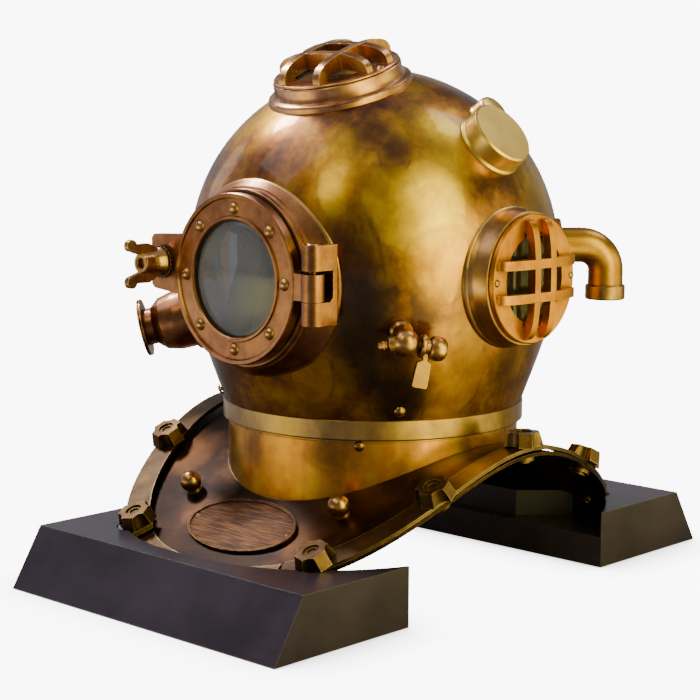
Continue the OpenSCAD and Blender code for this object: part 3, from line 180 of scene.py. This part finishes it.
def make_wear():
    """Rubbed outer edges, and corners darkened with painted shade and grime, from the shape alone."""
    t, gi, go = group("edge wear and corner shade",
                      [("Edge", FLOAT, 0.0012), ("Corner", FLOAT, 0.007), ("Seed", FLOAT, 0.0)],
                      [("Rubbed", FLOAT), ("Shade and grime", FLOAT), ("Normal", VECTOR)])
    inside = put(t, "ShaderNodeAmbientOcclusion", {"Distance": gi.outputs["Edge"]},
                 inside=True, only_local=True, samples=EDGE_SAMPLES).outputs["AO"]
    outside = put(t, "ShaderNodeAmbientOcclusion", {"Distance": gi.outputs["Corner"]},
                  samples=CORNER_SAMPLES).outputs["AO"]
    place = here(t)
    chips = noise(t, place, CHIP_SCALE, 4.0, 0.6, 0.0, gi.outputs["Seed"])
    chips = maths(t, "MULTIPLY", maths(t, "SUBTRACT", chips, 0.5), CHIP_SHARE)
    rubbed = remap(t, maths(t, "ADD", maths(t, "SUBTRACT", 1.0, inside), chips), 0.3, 0.62)
    # Painted shade: where ambient occlusion finds corners and crevices, this mask darkens the colour; it
    # stands also for grime.
    shade_and_grime = remap(t, maths(t, "SUBTRACT", 1.0, outside), 0.12, 0.75)
    soft = put(t, "ShaderNodeBevel", {"Radius": maths(t, "MULTIPLY", gi.outputs["Edge"], BEVEL_SHARE)},
               samples=BEVEL_SAMPLES).outputs["Normal"]
    give(t, go, {"Rubbed": rubbed, "Shade and grime": shade_and_grime, "Normal": soft})
    return t


def make_scratches():
    """Fine rub marks in two directions and a slow unevenness of the sheen."""
    t, _, go = group("rub marks", [], [("Marks", FLOAT), ("Sheen", FLOAT)])
    place = here(t)
    marks = []
    for turn, stretch in RUB_WAYS:
        lean = put(t, "ShaderNodeMapping", {"Vector": place, "Rotation": turn, "Scale": stretch}).outputs[0]
        marks.append(noise(t, lean, RUB_SCALE, 3.0, 0.5))
    give(t, go, {"Marks": maths(t, "MULTIPLY", marks[0], marks[1]),
                 "Sheen": noise(t, place, SHEEN_SCALE, 3.0, 0.5)})
    return t


def make_patch():
    """One ragged patch of colour round a point: 1 in its middle, 0 beyond its size."""
    t, gi, go = group("patina patch",
                      [("Centre", VECTOR, (0, 0, 0)), ("Stretch", VECTOR, (1, 1, 1)),
                       ("Size", FLOAT, 0.03), ("Ragged", FLOAT, 0.03)],
                      [("Patch", FLOAT)])
    place = here(t)
    wave = put(t, "ShaderNodeTexNoise", {
        "Vector": stretched(t, place, RAG_STRETCH), "Scale": RAG_SCALE, "Detail": 5.0, "Roughness": 0.6,
    }, noise_dimensions="3D").outputs["Color"]
    wave = put(t, "ShaderNodeVectorMath", {
        0: vector(t, "SUBTRACT", wave, (0.5, 0.5, 0.5)), "Scale": gi.outputs["Ragged"],
    }, operation="SCALE").outputs[0]
    off = vector(t, "SUBTRACT", vector(t, "ADD", place, wave), gi.outputs["Centre"])
    off = vector(t, "MULTIPLY", off, gi.outputs["Stretch"])
    far = put(t, "ShaderNodeVectorMath", {0: off}, operation="LENGTH").outputs["Value"]
    share = maths(t, "DIVIDE", far, gi.outputs["Size"])
    give(t, go, {"Patch": remap(t, share, 1.15, 0.25, smooth=True)})
    return t


MOTTLE = make_mottle()
WEAR_AND_SHADE = make_wear()
MARKS = make_scratches()
PATCH = make_patch()


def patches(tree, items):
    """The strongest of several patches; each item is (centre, size, ragged, stretch, strength)."""
    total = None
    for centre, size, ragged, stretch, strength in items:
        one = use(tree, PATCH, {"Centre": centre, "Size": size, "Ragged": ragged, "Stretch": stretch})
        one = maths(tree, "MULTIPLY", one.outputs["Patch"], strength)
        total = one if total is None else maths(tree, "MAXIMUM", total, one)
    return total


# Materials


def new_material(name):
    m = bpy.data.materials.new(name)
    m.use_nodes = True
    m.node_tree.nodes.clear()
    return m, m.node_tree


def close(tree, shader):
    out = tree.nodes.new("ShaderNodeOutputMaterial")
    tree.links.new(shader, out.inputs["Surface"])


SMOKE = (0.3, 0.18, 0.16, 1)  # what the smoky stains multiply the metal's colour by
FLECK_SHARE = 0.12
PAINTED_CORNER_SHADE = 0.22  # of the dark colour, in the corners, for painted shade with grime
PATCH_RIM, PATCH_RIM_HALF = 0.3, 0.12  # where a patch's dark outline lies, and half its width
BRUSH_STRETCH, BRUSH_SCALE, BRUSH_SHARE = (0.07, 1.0, 1.0), 760.0, 0.85
METAL_RELIEF, FINE_RELIEF = 0.0004, 0.0003  # m


def metal(name, dark, mid, light, bright, seed, scale=9.0, spread=(0.34, 0.66), rough=(0.22, 0.42),
          edge=0.0012, corner=0.007, wear=0.7, shade_and_grime=0.75, coat=0.35, runs=0.3, bump=0.1,
          layers=(), stain=0.3, film=0.12, brushed=None):
    """Patinated copper or brass under lacquer.

    Clouds run from dark through mid to light; layers are (colour, patches); smoky stains,
    corners darkened with painted shade and grime, and bright rubbed edges lie over them.
    brushed is the colour of long streaks on a plate. film is the lacquer's own roughness.
    """
    m, t = new_material(name)
    mot = use(t, MOTTLE, {"Scale": scale, "Seed": seed})
    wr = use(t, WEAR_AND_SHADE, {"Edge": edge, "Corner": corner, "Seed": seed})
    mk = use(t, MARKS)
    mix = maths(t, "ADD", maths(t, "MULTIPLY", mot.outputs["Clouds"], 1.0 - runs),
                maths(t, "MULTIPLY", mot.outputs["Runs"], runs))
    flecks = maths(t, "MULTIPLY", maths(t, "SUBTRACT", mot.outputs["Flecks"], 0.5), FLECK_SHARE)
    mix = remap(t, maths(t, "ADD", mix, flecks), *spread)
    smoke = remap(t, mot.outputs["Smoke"], 0.32, 0.64, smooth=True)
    base = ramp(t, mix, [(0.0, dark), (0.5, mid), (1.0, light)])
    for colour, items in layers:
        mask = patches(t, items)
        base = blend(t, mask, base, (*colour, 1))
        rim = maths(t, "ABSOLUTE", maths(t, "SUBTRACT", mask, PATCH_RIM))
        rim = remap(t, rim, 0.0, PATCH_RIM_HALF, 1.0, 0.0)
        rim = maths(t, "MULTIPLY", rim, remap(t, mot.outputs["Smoke"], 0.45, 0.6, 0.0, 0.5))
        base = blend(t, rim, base, (*dark, 1))
    base = blend(t, maths(t, "MULTIPLY", maths(t, "SUBTRACT", 1.0, smoke), stain), base, SMOKE, "MULTIPLY")
    # Painted shade in the corners, with grime: the dark colour, darker still, where the occlusion mask is
    # high.
    corner_shade_colour = (*[c * PAINTED_CORNER_SHADE for c in dark], 1)
    base = blend(t, maths(t, "MULTIPLY", wr.outputs["Shade and grime"], shade_and_grime), base, corner_shade_colour)
    if brushed:
        long = stretched(t, here(t), BRUSH_STRETCH)
        streak = remap(t, noise(t, long, BRUSH_SCALE, 3.0, 0.6, 0.1), 0.44, 0.64)
        base = blend(t, maths(t, "MULTIPLY", streak, BRUSH_SHARE), base, (*brushed, 1))
    base = blend(t, maths(t, "MULTIPLY", wr.outputs["Rubbed"], wear), base, (*bright, 1))
    sheen = maths(t, "ADD", maths(t, "MULTIPLY", mk.outputs["Sheen"], 0.7),
                  maths(t, "MULTIPLY", mk.outputs["Marks"], 0.5))
    roughness = remap(t, sheen, 0.25, 0.8, *rough)
    roughness = maths(t, "ADD", roughness, maths(t, "MULTIPLY", wr.outputs["Shade and grime"], 0.18))
    relief = maths(t, "ADD", maths(t, "MULTIPLY", mk.outputs["Marks"], 0.4),
                   maths(t, "MULTIPLY", mot.outputs["Flecks"], 0.6))
    normal = put(t, "ShaderNodeBump", {"Strength": bump, "Distance": METAL_RELIEF, "Height": relief,
                                       "Normal": wr.outputs["Normal"]}).outputs["Normal"]
    bsdf = put(t, "ShaderNodeBsdfPrincipled", {
        "Base Color": base, "Metallic": 1.0, "Roughness": roughness, "Normal": normal,
        "Coat Weight": coat, "Coat Roughness": film, "Coat IOR": 1.5,
    })
    close(t, bsdf.outputs[0])
    return m


GRAIN_STRETCH, GRAIN_SCALE = (0.06, 1.0, 1.0), 240.0


def painted_wood(name):
    """Black satin lacquer on wood: faint grain under it, lightened edges that are partly wear and partly
    painted highlight, soft haze.
    """
    m, t = new_material(name)
    wr = use(t, WEAR_AND_SHADE, {"Edge": 0.0012, "Corner": 0.02, "Seed": 3.0})
    place = here(t)
    grain = noise(t, stretched(t, place, GRAIN_STRETCH), GRAIN_SCALE, 6.0, 0.6, 0.4)
    haze = noise(t, place, 14.0, 4.0, 0.6, 0.3)
    base = ramp(t, haze, [(0.3, (0.024, 0.016, 0.036)), (0.7, (0.05, 0.033, 0.07))])
    # Painted edge highlight, partly worn lacquer: the rubbed edges are lightened to a pale grey.
    base = blend(t, maths(t, "MULTIPLY", wr.outputs["Rubbed"], 0.6), base, (0.2, 0.16, 0.18, 1))
    roughness = remap(t, maths(t, "ADD", grain, haze), 0.7, 1.3, 0.3, 0.44)
    normal = put(t, "ShaderNodeBump", {"Strength": 0.1, "Distance": FINE_RELIEF, "Height": grain,
                                       "Normal": wr.outputs["Normal"]}).outputs["Normal"]
    bsdf = put(t, "ShaderNodeBsdfPrincipled", {
        "Base Color": base, "Roughness": roughness, "Normal": normal, "Specular IOR Level": 0.5,
        "Coat Weight": 0.25, "Coat Roughness": 0.22,
    })
    close(t, bsdf.outputs[0])
    return m


def clear_glass(name, tint, haze, haze_colour):
    """Thick old glass: grey, hazy and smudged; light passes straight through it to what it shades."""
    m, t = new_material(name)
    place = here(t)
    smudge = noise(t, place, 34.0, 5.0, 0.6, 0.5)
    roughness = remap(t, smudge, 0.45, 0.75, 0.0, 0.02)
    glass = put(t, "ShaderNodeBsdfPrincipled", {
        "Base Color": (*tint, 1), "Roughness": roughness, "IOR": 1.5, "Transmission Weight": 1.0,
        "Coat Weight": 0.3, "Coat Roughness": 0.02,
    })
    film = put(t, "ShaderNodeBsdfDiffuse", {"Color": (*haze_colour, 1)})
    hazy = put(t, "ShaderNodeMixShader", {0: remap(t, smudge, 0.3, 0.7, haze * 0.9, haze * 1.1),
                                          1: glass.outputs[0], 2: film.outputs[0]})
    path = put(t, "ShaderNodeLightPath")
    pass_on = put(t, "ShaderNodeBsdfTransparent", {"Color": (*[min(1, c + 0.1) for c in tint], 1)})
    mix = put(t, "ShaderNodeMixShader", {0: path.outputs["Is Shadow Ray"], 1: hazy.outputs[0],
                                         2: pass_on.outputs[0]})
    close(t, mix.outputs[0])
    return m


def dull(name, low, high, scale, rough, bump=0.3):
    """Rubber, greased leather or ebonite: two close shades and a fine grain."""
    m, t = new_material(name)
    place = here(t)
    tone = noise(t, place, scale, 5.0, 0.6, 0.2)
    grain = noise(t, place, scale * 9, 3.0, 0.6)
    normal = put(t, "ShaderNodeBump", {"Strength": bump, "Distance": FINE_RELIEF,
                                       "Height": grain}).outputs["Normal"]
    bsdf = put(t, "ShaderNodeBsdfPrincipled", {
        "Base Color": ramp(t, tone, [(0.3, low), (0.7, high)]),
        "Roughness": remap(t, grain, 0.3, 0.7, rough - 0.08, rough + 0.08), "Normal": normal,
    })
    close(t, bsdf.outputs[0])
    return m


EVEN = (1.0, 1.0, 1.0)
TALL = (1.0, 1.0, 0.5)

# Patches: colour, then (centre in metres, size, raggedness, stretch, strength) for each
# The dome's patches are partly patina and partly painted light: the yellow and orange ones on the camera's
# side lie in the bright zone where the right-hand lights are reflected, and the darkest ones low on the front
# paint the darker reflection of what lies below.
DOME_PATINA_AND_LIGHT_PATCHES = (
    ((1.0, 0.64, 0.012), (
        ((0.118, -0.077, 0.308), 0.052, 0.045, EVEN, 0.9),
        ((0.108, -0.041, 0.352), 0.034, 0.04, TALL, 0.75),
        ((0.063, -0.103, 0.352), 0.02, 0.02, TALL, 0.4),
        ((0.068, -0.118, 0.322), 0.022, 0.02, TALL, 0.65),
        ((0.132, 0.045, 0.315), 0.034, 0.03, TALL, 0.8),
        ((-0.01, 0.12, 0.33), 0.05, 0.05, TALL, 0.7),
        ((-0.12, -0.05, 0.32), 0.05, 0.05, EVEN, 0.7),
        ((-0.11, 0.08, 0.3), 0.045, 0.05, TALL, 0.7),
    )),
    ((0.9, 0.44, 0.01), (
        ((0.134, -0.067, 0.266), 0.036, 0.03, EVEN, 0.85),
        ((0.123, -0.046, 0.187), 0.032, 0.03, TALL, 0.85),
        ((0.104, -0.042, 0.157), 0.024, 0.02, TALL, 0.8),
        ((0.108, -0.104, 0.255), 0.012, 0.02, EVEN, 0.55),
        ((0.049, -0.121, 0.187), 0.024, 0.02, TALL, 0.75),
        ((0.1, 0.1, 0.2), 0.04, 0.03, TALL, 0.7),
        ((-0.1, 0.06, 0.19), 0.04, 0.03, TALL, 0.7),
        ((-0.09, -0.1, 0.22), 0.03, 0.03, TALL, 0.7),
    )),
    ((0.1, 0.034, 0.02), (
        ((0.09, -0.12, 0.25), 0.032, 0.03, TALL, 0.8),
        ((0.09, -0.078, 0.345), 0.016, 0.02, TALL, 0.8),
        ((0.137, -0.041, 0.217), 0.028, 0.03, TALL, 0.6),
        ((0.142, 0.03, 0.25), 0.05, 0.03, TALL, 0.4),
        ((0.13, 0.01, 0.35), 0.03, 0.03, TALL, 0.6),
        ((0.075, -0.085, 0.36), 0.018, 0.03, TALL, 0.7),
        ((0.02, -0.13, 0.34), 0.04, 0.03, TALL, 0.6),
        ((0.136, -0.03, 0.31), 0.014, 0.02, TALL, 0.5),
        ((0.135, 0.004, 0.19), 0.022, 0.03, TALL, 0.75),
        ((0.03, -0.09, 0.375), 0.03, 0.03, EVEN, 0.5),
        ((0.0, 0.13, 0.24), 0.04, 0.04, TALL, 0.7),
        ((0.08, 0.1, 0.34), 0.03, 0.04, TALL, 0.5),
    )),
    ((0.065, 0.042, 0.02), (
        ((0.094, -0.108, 0.208), 0.036, 0.035, TALL, 0.9),
        ((0.095, -0.079, 0.172), 0.028, 0.03, TALL, 0.85),
        ((-0.06, -0.12, 0.17), 0.03, 0.03, TALL, 0.8),
        ((-0.02, 0.12, 0.17), 0.04, 0.03, TALL, 0.8),
    )),
)

CORSELET_PATCHES = (
    ((0.24, 0.1, 0.035), (
        ((-0.06, -0.15, 0.07), 0.02, 0.03, EVEN, 0.15),
        ((0.075, -0.15, 0.07), 0.034, 0.03, EVEN, 0.35),
        ((0.14, -0.05, 0.11), 0.03, 0.03, EVEN, 0.6),
        ((-0.13, -0.09, 0.09), 0.035, 0.03, EVEN, 0.5),
        ((0.1, 0.14, 0.07), 0.05, 0.04, EVEN, 0.6),
        ((-0.1, 0.14, 0.07), 0.05, 0.04, EVEN, 0.6),
    )),
)

NECK_PATCHES = (
    ((0.2, 0.075, 0.02), (
        ((0.05, -0.107, 0.115), 0.02, 0.02, EVEN, 0.7),
        ((0.1, -0.065, 0.122), 0.012, 0.015, EVEN, 0.6),
        ((0.118, 0.005, 0.128), 0.022, 0.02, EVEN, 0.8),
        ((-0.02, -0.117, 0.11), 0.016, 0.02, EVEN, 0.6),
    )),
)

DOME = metal("dome patina and painted light", (0.13, 0.048, 0.03), (0.54, 0.21, 0.028), (0.94, 0.5, 0.02),
             (0.9, 0.62, 0.2), 1.0, scale=17.0, spread=(0.4, 0.6), rough=(0.3, 0.4), coat=0.5,
             runs=0.3, layers=DOME_PATINA_AND_LIGHT_PATCHES, bump=0.02, stain=0.55, film=0.06)
PORT = metal("port brass", (0.17, 0.064, 0.034), (0.46, 0.19, 0.085), (0.72, 0.34, 0.13),
             (0.98, 0.6, 0.2), 2.0, scale=24.0, rough=(0.26, 0.38), coat=0.25)
WINDOW = metal("window brass", (0.22, 0.12, 0.04), (0.52, 0.3, 0.09), (0.74, 0.47, 0.14),
               (1.0, 0.74, 0.3), 3.0, scale=18.0, rough=(0.28, 0.4), coat=0.4)
BODY = metal("window body", (0.28, 0.14, 0.06), (0.66, 0.36, 0.14), (0.88, 0.54, 0.2),
             (1.0, 0.74, 0.28), 15.0, scale=18.0, rough=(0.28, 0.4), coat=0.25)
GUARD = metal("guard brass", (0.34, 0.12, 0.018), (0.78, 0.3, 0.018), (0.94, 0.44, 0.025),
              (1.0, 0.66, 0.12), 12.0, scale=24.0, rough=(0.32, 0.46), coat=0.06)
TOP = metal("top bronze", (0.26, 0.105, 0.055), (0.84, 0.41, 0.2), (1.0, 0.62, 0.27),
            (0.95, 0.58, 0.22), 4.0, scale=22.0, rough=(0.24, 0.38), coat=0.3)
HINGE = metal("hinge copper", (0.13, 0.045, 0.018), (0.38, 0.15, 0.055), (0.6, 0.27, 0.1),
              (1.0, 0.6, 0.32), 5.0, scale=30.0, rough=(0.24, 0.36), coat=0.4)
CORSELET = metal("corselet copper", (0.007, 0.004, 0.003), (0.024, 0.0105, 0.006), (0.1, 0.038, 0.015),
                 (0.5, 0.28, 0.12), 6.0, scale=16.0, rough=(0.3, 0.42), coat=0.06,
                 layers=CORSELET_PATCHES, bump=0.06)
STRAP = metal("strap brass", (0.04, 0.022, 0.013), (0.11, 0.062, 0.03), (0.22, 0.13, 0.055),
              (0.8, 0.55, 0.26), 13.0, scale=18.0, rough=(0.3, 0.42), coat=0.35)
NECK = metal("neck gold", (0.3, 0.1, 0.03), (0.88, 0.36, 0.035), (1.0, 0.58, 0.03),
             (0.98, 0.7, 0.28), 7.0, scale=18.0, rough=(0.26, 0.36), coat=0.25, runs=0.5,
             layers=NECK_PATCHES, bump=0.06)
ELBOW = metal("elbow gold", (0.32, 0.14, 0.03), (0.58, 0.28, 0.035), (0.76, 0.39, 0.035),
              (1.0, 0.74, 0.2), 16.0, scale=18.0, rough=(0.3, 0.42), coat=0.12)
CUP = metal("cup gold", (0.56, 0.32, 0.08), (0.94, 0.62, 0.14), (1.0, 0.76, 0.22),
            (1.0, 0.8, 0.38), 14.0, scale=12.0, rough=(0.3, 0.4), coat=0.4, bump=0.03, stain=0.1)
FITTING = metal("fitting brass", (0.3, 0.12, 0.05), (0.7, 0.35, 0.12), (0.92, 0.54, 0.18),
                (1.0, 0.72, 0.32), 8.0, scale=30.0, rough=(0.22, 0.36), coat=0.5)
NUT = metal("nut brass", (0.06, 0.032, 0.016), (0.15, 0.08, 0.032), (0.29, 0.17, 0.06),
            (0.72, 0.49, 0.22), 9.0, scale=34.0, rough=(0.32, 0.46), wear=0.75)
PLATE = metal("plate brass", (0.01, 0.0036, 0.0018), (0.018, 0.0066, 0.0026), (0.032, 0.012, 0.0036),
              (0.42, 0.2, 0.06), 10.0, scale=60.0, rough=(0.36, 0.5), coat=0.02, bump=0.4,
              edge=0.0014, brushed=(0.1, 0.038, 0.01))
SCREW = metal("screw brass", (0.14, 0.06, 0.025), (0.4, 0.22, 0.08), (0.58, 0.35, 0.14),
              (0.95, 0.7, 0.38), 11.0, scale=40.0, rough=(0.26, 0.4), edge=0.0006)
WOOD = painted_wood("plinth lacquer")
GLASS = clear_glass("window glass", (0.55, 0.6, 0.62), 0.03, (0.3, 0.3, 0.3))
DOOR_GLASS = clear_glass("door glass", (0.56, 0.6, 0.76), 0.4, (0.27, 0.27, 0.36))
RUBBER = dull("seal rubber", (0.006, 0.006, 0.006), (0.016, 0.016, 0.016), 40.0, 0.55)
LEATHER = dull("gasket leather", (0.03, 0.015, 0.008), (0.08, 0.045, 0.025), 60.0, 0.6)
EBONITE = dull("receiver ebonite", (0.01, 0.01, 0.012), (0.03, 0.03, 0.034), 30.0, 0.35, 0.1)

BY_SLOT = {
    "dome_patina": DOME, "port_brass": PORT, "window_brass": WINDOW,
    "top_bronze": TOP, "hinge_copper": HINGE, "corselet_copper": CORSELET,
    "neck_gold": NECK, "fitting_brass": FITTING, "nut_brass": NUT, "plate_brass": PLATE,
    "screw_brass": SCREW, "plinth_wood": WOOD, "window_glass": GLASS, "door_glass": DOOR_GLASS,
    "seal_rubber": RUBBER, "gasket_leather": LEATHER, "receiver_ebonite": EBONITE,
}

# Carried-over nodes


JOIN_WITHIN = 0.000002  # m
SMOOTH_BELOW = math.radians(24)


def make_smoother():
    """Joins the split corners of a carried-over mesh and shades it smooth below an angle."""
    g = bpy.data.node_groups.new("smooth by angle", "GeometryNodeTree")
    g.interface.new_socket(name="Geometry", in_out="INPUT", socket_type="NodeSocketGeometry")
    g.interface.new_socket(name="Geometry", in_out="OUTPUT", socket_type="NodeSocketGeometry")
    gi, go = g.nodes.new("NodeGroupInput"), g.nodes.new("NodeGroupOutput")
    join = put(g, "GeometryNodeMergeByDistance", {"Geometry": gi.outputs[0], "Distance": JOIN_WITHIN})
    drop = put(g, "GeometryNodeRemoveAttribute", {"Geometry": join.outputs[0], "Name": "custom_normal"})
    faces = put(g, "GeometryNodeSetShadeSmooth", {"Geometry": drop.outputs[0], "Shade Smooth": True},
                domain="FACE")
    angle = put(g, "GeometryNodeInputMeshEdgeAngle").outputs["Unsigned Angle"]
    flat = put(g, "FunctionNodeCompare", {"A": angle, "B": SMOOTH_BELOW},
               data_type="FLOAT", operation="LESS_EQUAL").outputs[0]
    edges = put(g, "GeometryNodeSetShadeSmooth", {"Geometry": faces.outputs[0], "Shade Smooth": flat},
                domain="EDGE")
    g.links.new(edges.outputs[0], go.inputs[0])
    return g


SMOOTHER = make_smoother()
BY_NODE = {
    "left_guard": GUARD, "right_guard": GUARD, "telephone_cup": CUP,
    "left_window": BODY, "right_window": BODY, "door_bolts": FITTING,
    "left_elbow": ELBOW, "right_elbow": ELBOW,
    "left_strap": STRAP, "right_strap": STRAP, "front_strap": STRAP, "rear_strap": STRAP,
}


def dress_nodes():
    """Gives each carried-over node its metal, glass, wood or rubber, and smooth shading."""
    slots = {s["node"]: s["material_slot"] for s in frame["record"]["subparts"]}
    for name, obj in NODES.items():
        obj.data.materials.clear()
        obj.data.materials.append(BY_NODE.get(name, BY_SLOT[slots[name]]))
        mod = obj.modifiers.new("smooth", "NODES")
        mod.node_group = SMOOTHER


dress_nodes()

# Studio

WHITE = 9.0  # strength of the floor and background as the camera sees them
WARM = (1.0, 0.92, 0.24)
PLAIN = (1.0, 1.0, 1.0)
# What the metal sees round the helmet: degrees from straight ahead towards the wearer's left,
# strength on the floor, strength on the walls, tint
ROOM = (
    (-180, 0.3, 0.25, PLAIN), (-137, 0.5, 0.45, PLAIN), (-105, 0.4, 0.35, PLAIN), (-71, 0.6, 0.35, PLAIN),
    (-43, 1.0, 0.3, PLAIN), (-19, 3.0, 0.25, WARM), (-4, 1.2, 0.17, PLAIN), (8, 0.35, 0.15, PLAIN),
    (40, 0.25, 0.12, PLAIN), (60, 0.6, 0.3, WARM), (82, 4.6, 1.1, WARM), (100, 3.0, 1.9, WARM),
    (134, 2.6, 2.6, WARM), (152, 0.5, 0.8, WARM), (172, 0.2, 0.2, PLAIN),
)
ROOM_TOP = 5.2  # the ramps hold shares of this strength
FAR_TONE = (0.02, 0.02, 0.02, 1)
FLOOR_HALF, FLOOR_DROP = 12.0, 0.0004  # m
NEAR_FLOOR, FAR_FLOOR = (0.42, 0.9), (2.0, 5.0)  # m from the axis where each begins and is full
SIDE_FLOOR = (0.27, 0.6)  # m to the wearer's left
CONTACT = 0.05  # m, reach of the soft contact shadow
CONTACT_SHADE = 0.12
WALL_ENDS, CEILING = (0.2, 0.6), (0.6, 0.98, 0.012, 0.07)
AIM = (0, 0, 0.25)


def make_room():
    """The studio as the metal sees it: a strength and tint for each direction round the helmet."""
    t, gi, go = group("room light", [("Direction", VECTOR, (0, 0, 0))], [("Floor", COLOUR), ("Wall", COLOUR)])
    part = put(t, "ShaderNodeSeparateXYZ", {0: gi.outputs["Direction"]}).outputs
    turn = maths(t, "ARCTAN2", part["X"], maths(t, "MULTIPLY", part["Y"], -1.0))
    place = remap(t, turn, -math.pi, math.pi)
    for label, column in (("Floor", 1), ("Wall", 2)):
        stops = [(row[0] / 360 + 0.5, tuple(row[column] / ROOM_TOP * c for c in row[3])) for row in ROOM]
        give(t, go, {label: ramp(t, place, stops)})
    return t


ROOM_LIGHT = make_room()


def make_floor():
    """A white floor that runs out of sight: bright to the camera with a painted contact shadow; in the
    metal's reflections, a painted dark floor close by and an uneven glow further out.
    """
    mesh = bpy.data.meshes.new("studio_floor")
    corners = [(x * FLOOR_HALF, y * FLOOR_HALF, 0) for x, y in ((-1, -1), (1, -1), (1, 1), (-1, 1))]
    mesh.from_pydata(corners, [], [(0, 1, 2, 3)])
    floor = bpy.data.objects.new("studio_floor", mesh)
    floor.location.z = -FLOOR_DROP
    bpy.context.scene.collection.objects.link(floor)
    m, t = new_material("studio floor")
    place = here(t)
    tone = remap(t, noise(t, place, 3.0, 3.0, 0.5), 0.3, 0.7, 0.86, 0.9)
    seen = put(t, "ShaderNodeCombineColor", {0: tone, 1: tone, 2: tone}).outputs[0]
    path = put(t, "ShaderNodeLightPath")
    # Painted dark reflection: to glossy rays the near floor is dark grey instead of white.
    colour = blend(t, path.outputs["Is Glossy Ray"], seen, (0.12, 0.1, 0.09, 1))
    near = put(t, "ShaderNodeBsdfDiffuse", {"Color": colour})
    away = put(t, "ShaderNodeVectorMath", {0: place}, operation="LENGTH").outputs["Value"]
    light = use(t, ROOM_LIGHT, {"Direction": place}).outputs["Floor"]
    light = blend(t, remap(t, away, *FAR_FLOOR), light, FAR_TONE)
    sweep = put(t, "ShaderNodeEmission", {"Color": light, "Strength": ROOM_TOP})
    across = put(t, "ShaderNodeSeparateXYZ", {0: place}).outputs["X"]
    lit = maths(t, "MAXIMUM", remap(t, away, *NEAR_FLOOR, smooth=True),
                remap(t, across, *SIDE_FLOOR, smooth=True))
    bsdf = put(t, "ShaderNodeMixShader", {0: lit, 1: near.outputs[0], 2: sweep.outputs[0]})
    # Painted contact shadow: the camera's white floor is darkened where ambient occlusion finds the plinths
    # close.
    shade = put(t, "ShaderNodeAmbientOcclusion", {"Distance": CONTACT}, samples=8).outputs["AO"]
    white_with_contact_shadow = remap(t, shade, 0.4, 1.0, WHITE * CONTACT_SHADE, WHITE)
    white = put(t, "ShaderNodeEmission", {"Strength": white_with_contact_shadow})
    both = put(t, "ShaderNodeMixShader", {0: path.outputs["Is Camera Ray"], 1: bsdf.outputs[0],
                                          2: white.outputs[0]})
    close(t, both.outputs[0])
    mesh.materials.append(m)


def make_world():
    """White to the camera; to the metal, walls round the helmet and a dim ceiling."""
    w = bpy.data.worlds.new("studio")
    bpy.context.scene.world = w
    w.use_nodes = True
    t = w.node_tree
    t.nodes.clear()
    place = put(t, "ShaderNodeTexCoord").outputs["Generated"]
    wall = use(t, ROOM_LIGHT, {"Direction": place}).outputs["Wall"]
    up = put(t, "ShaderNodeSeparateXYZ", {0: place}).outputs["Z"]
    tone = remap(t, up, *CEILING, smooth=True)
    ceiling = put(t, "ShaderNodeCombineColor", {0: tone, 1: tone, 2: tone}).outputs[0]
    room = blend(t, remap(t, up, *WALL_ENDS, smooth=True), wall, ceiling)
    inside = put(t, "ShaderNodeBackground", {"Color": room, "Strength": ROOM_TOP})
    shown = put(t, "ShaderNodeBackground", {"Color": (1, 1, 1, 1), "Strength": WHITE})
    path = put(t, "ShaderNodeLightPath")
    both = put(t, "ShaderNodeMixShader", {0: path.outputs["Is Camera Ray"], 1: inside.outputs[0],
                                          2: shown.outputs[0]})
    out = t.nodes.new("ShaderNodeOutputWorld")
    t.links.new(both.outputs[0], out.inputs[0])


def soft_light(name, az, el, away, size, power, tint=PLAIN):
    """A soft box seen from the helmet at angle az from straight ahead and el up, in degrees."""
    data = bpy.data.lights.new(name, "AREA")
    data.shape = "RECTANGLE"
    data.size, data.size_y = size
    data.energy = power
    data.color = tint
    lamp = bpy.data.objects.new(name, data)
    a, e = math.radians(az), math.radians(el)
    aim = Vector(AIM)
    lamp.location = aim + away * Vector((math.cos(e) * math.sin(a), -math.cos(e) * math.cos(a), math.sin(e)))
    lamp.rotation_euler = (aim - lamp.location).to_track_quat("-Z", "Y").to_euler()
    bpy.context.scene.collection.objects.link(lamp)


make_floor()
make_world()
# name, az, el, away in m, size in m, power in W, tint
for box in (
    ("soft_box_left", -86, 49, 2.0, (0.34, 0.34), 26),
    ("soft_box_left_low", -88, 20, 2.0, (0.5, 0.7), 1.2),
    ("soft_box_upper_left", -42, 52, 2.2, (1.1, 1.1), 7.0),
    ("soft_box_right", 86, 22, 1.9, (1.0, 1.7), 21, (1.0, 0.96, 0.18)),
    ("soft_box_front", 8, 46, 2.4, (0.5, 0.9), 5, (1.0, 0.92, 0.3)),
    ("soft_box_back", 161, 52, 2.2, (0.7, 0.9), 7),
):
    soft_light(*box)
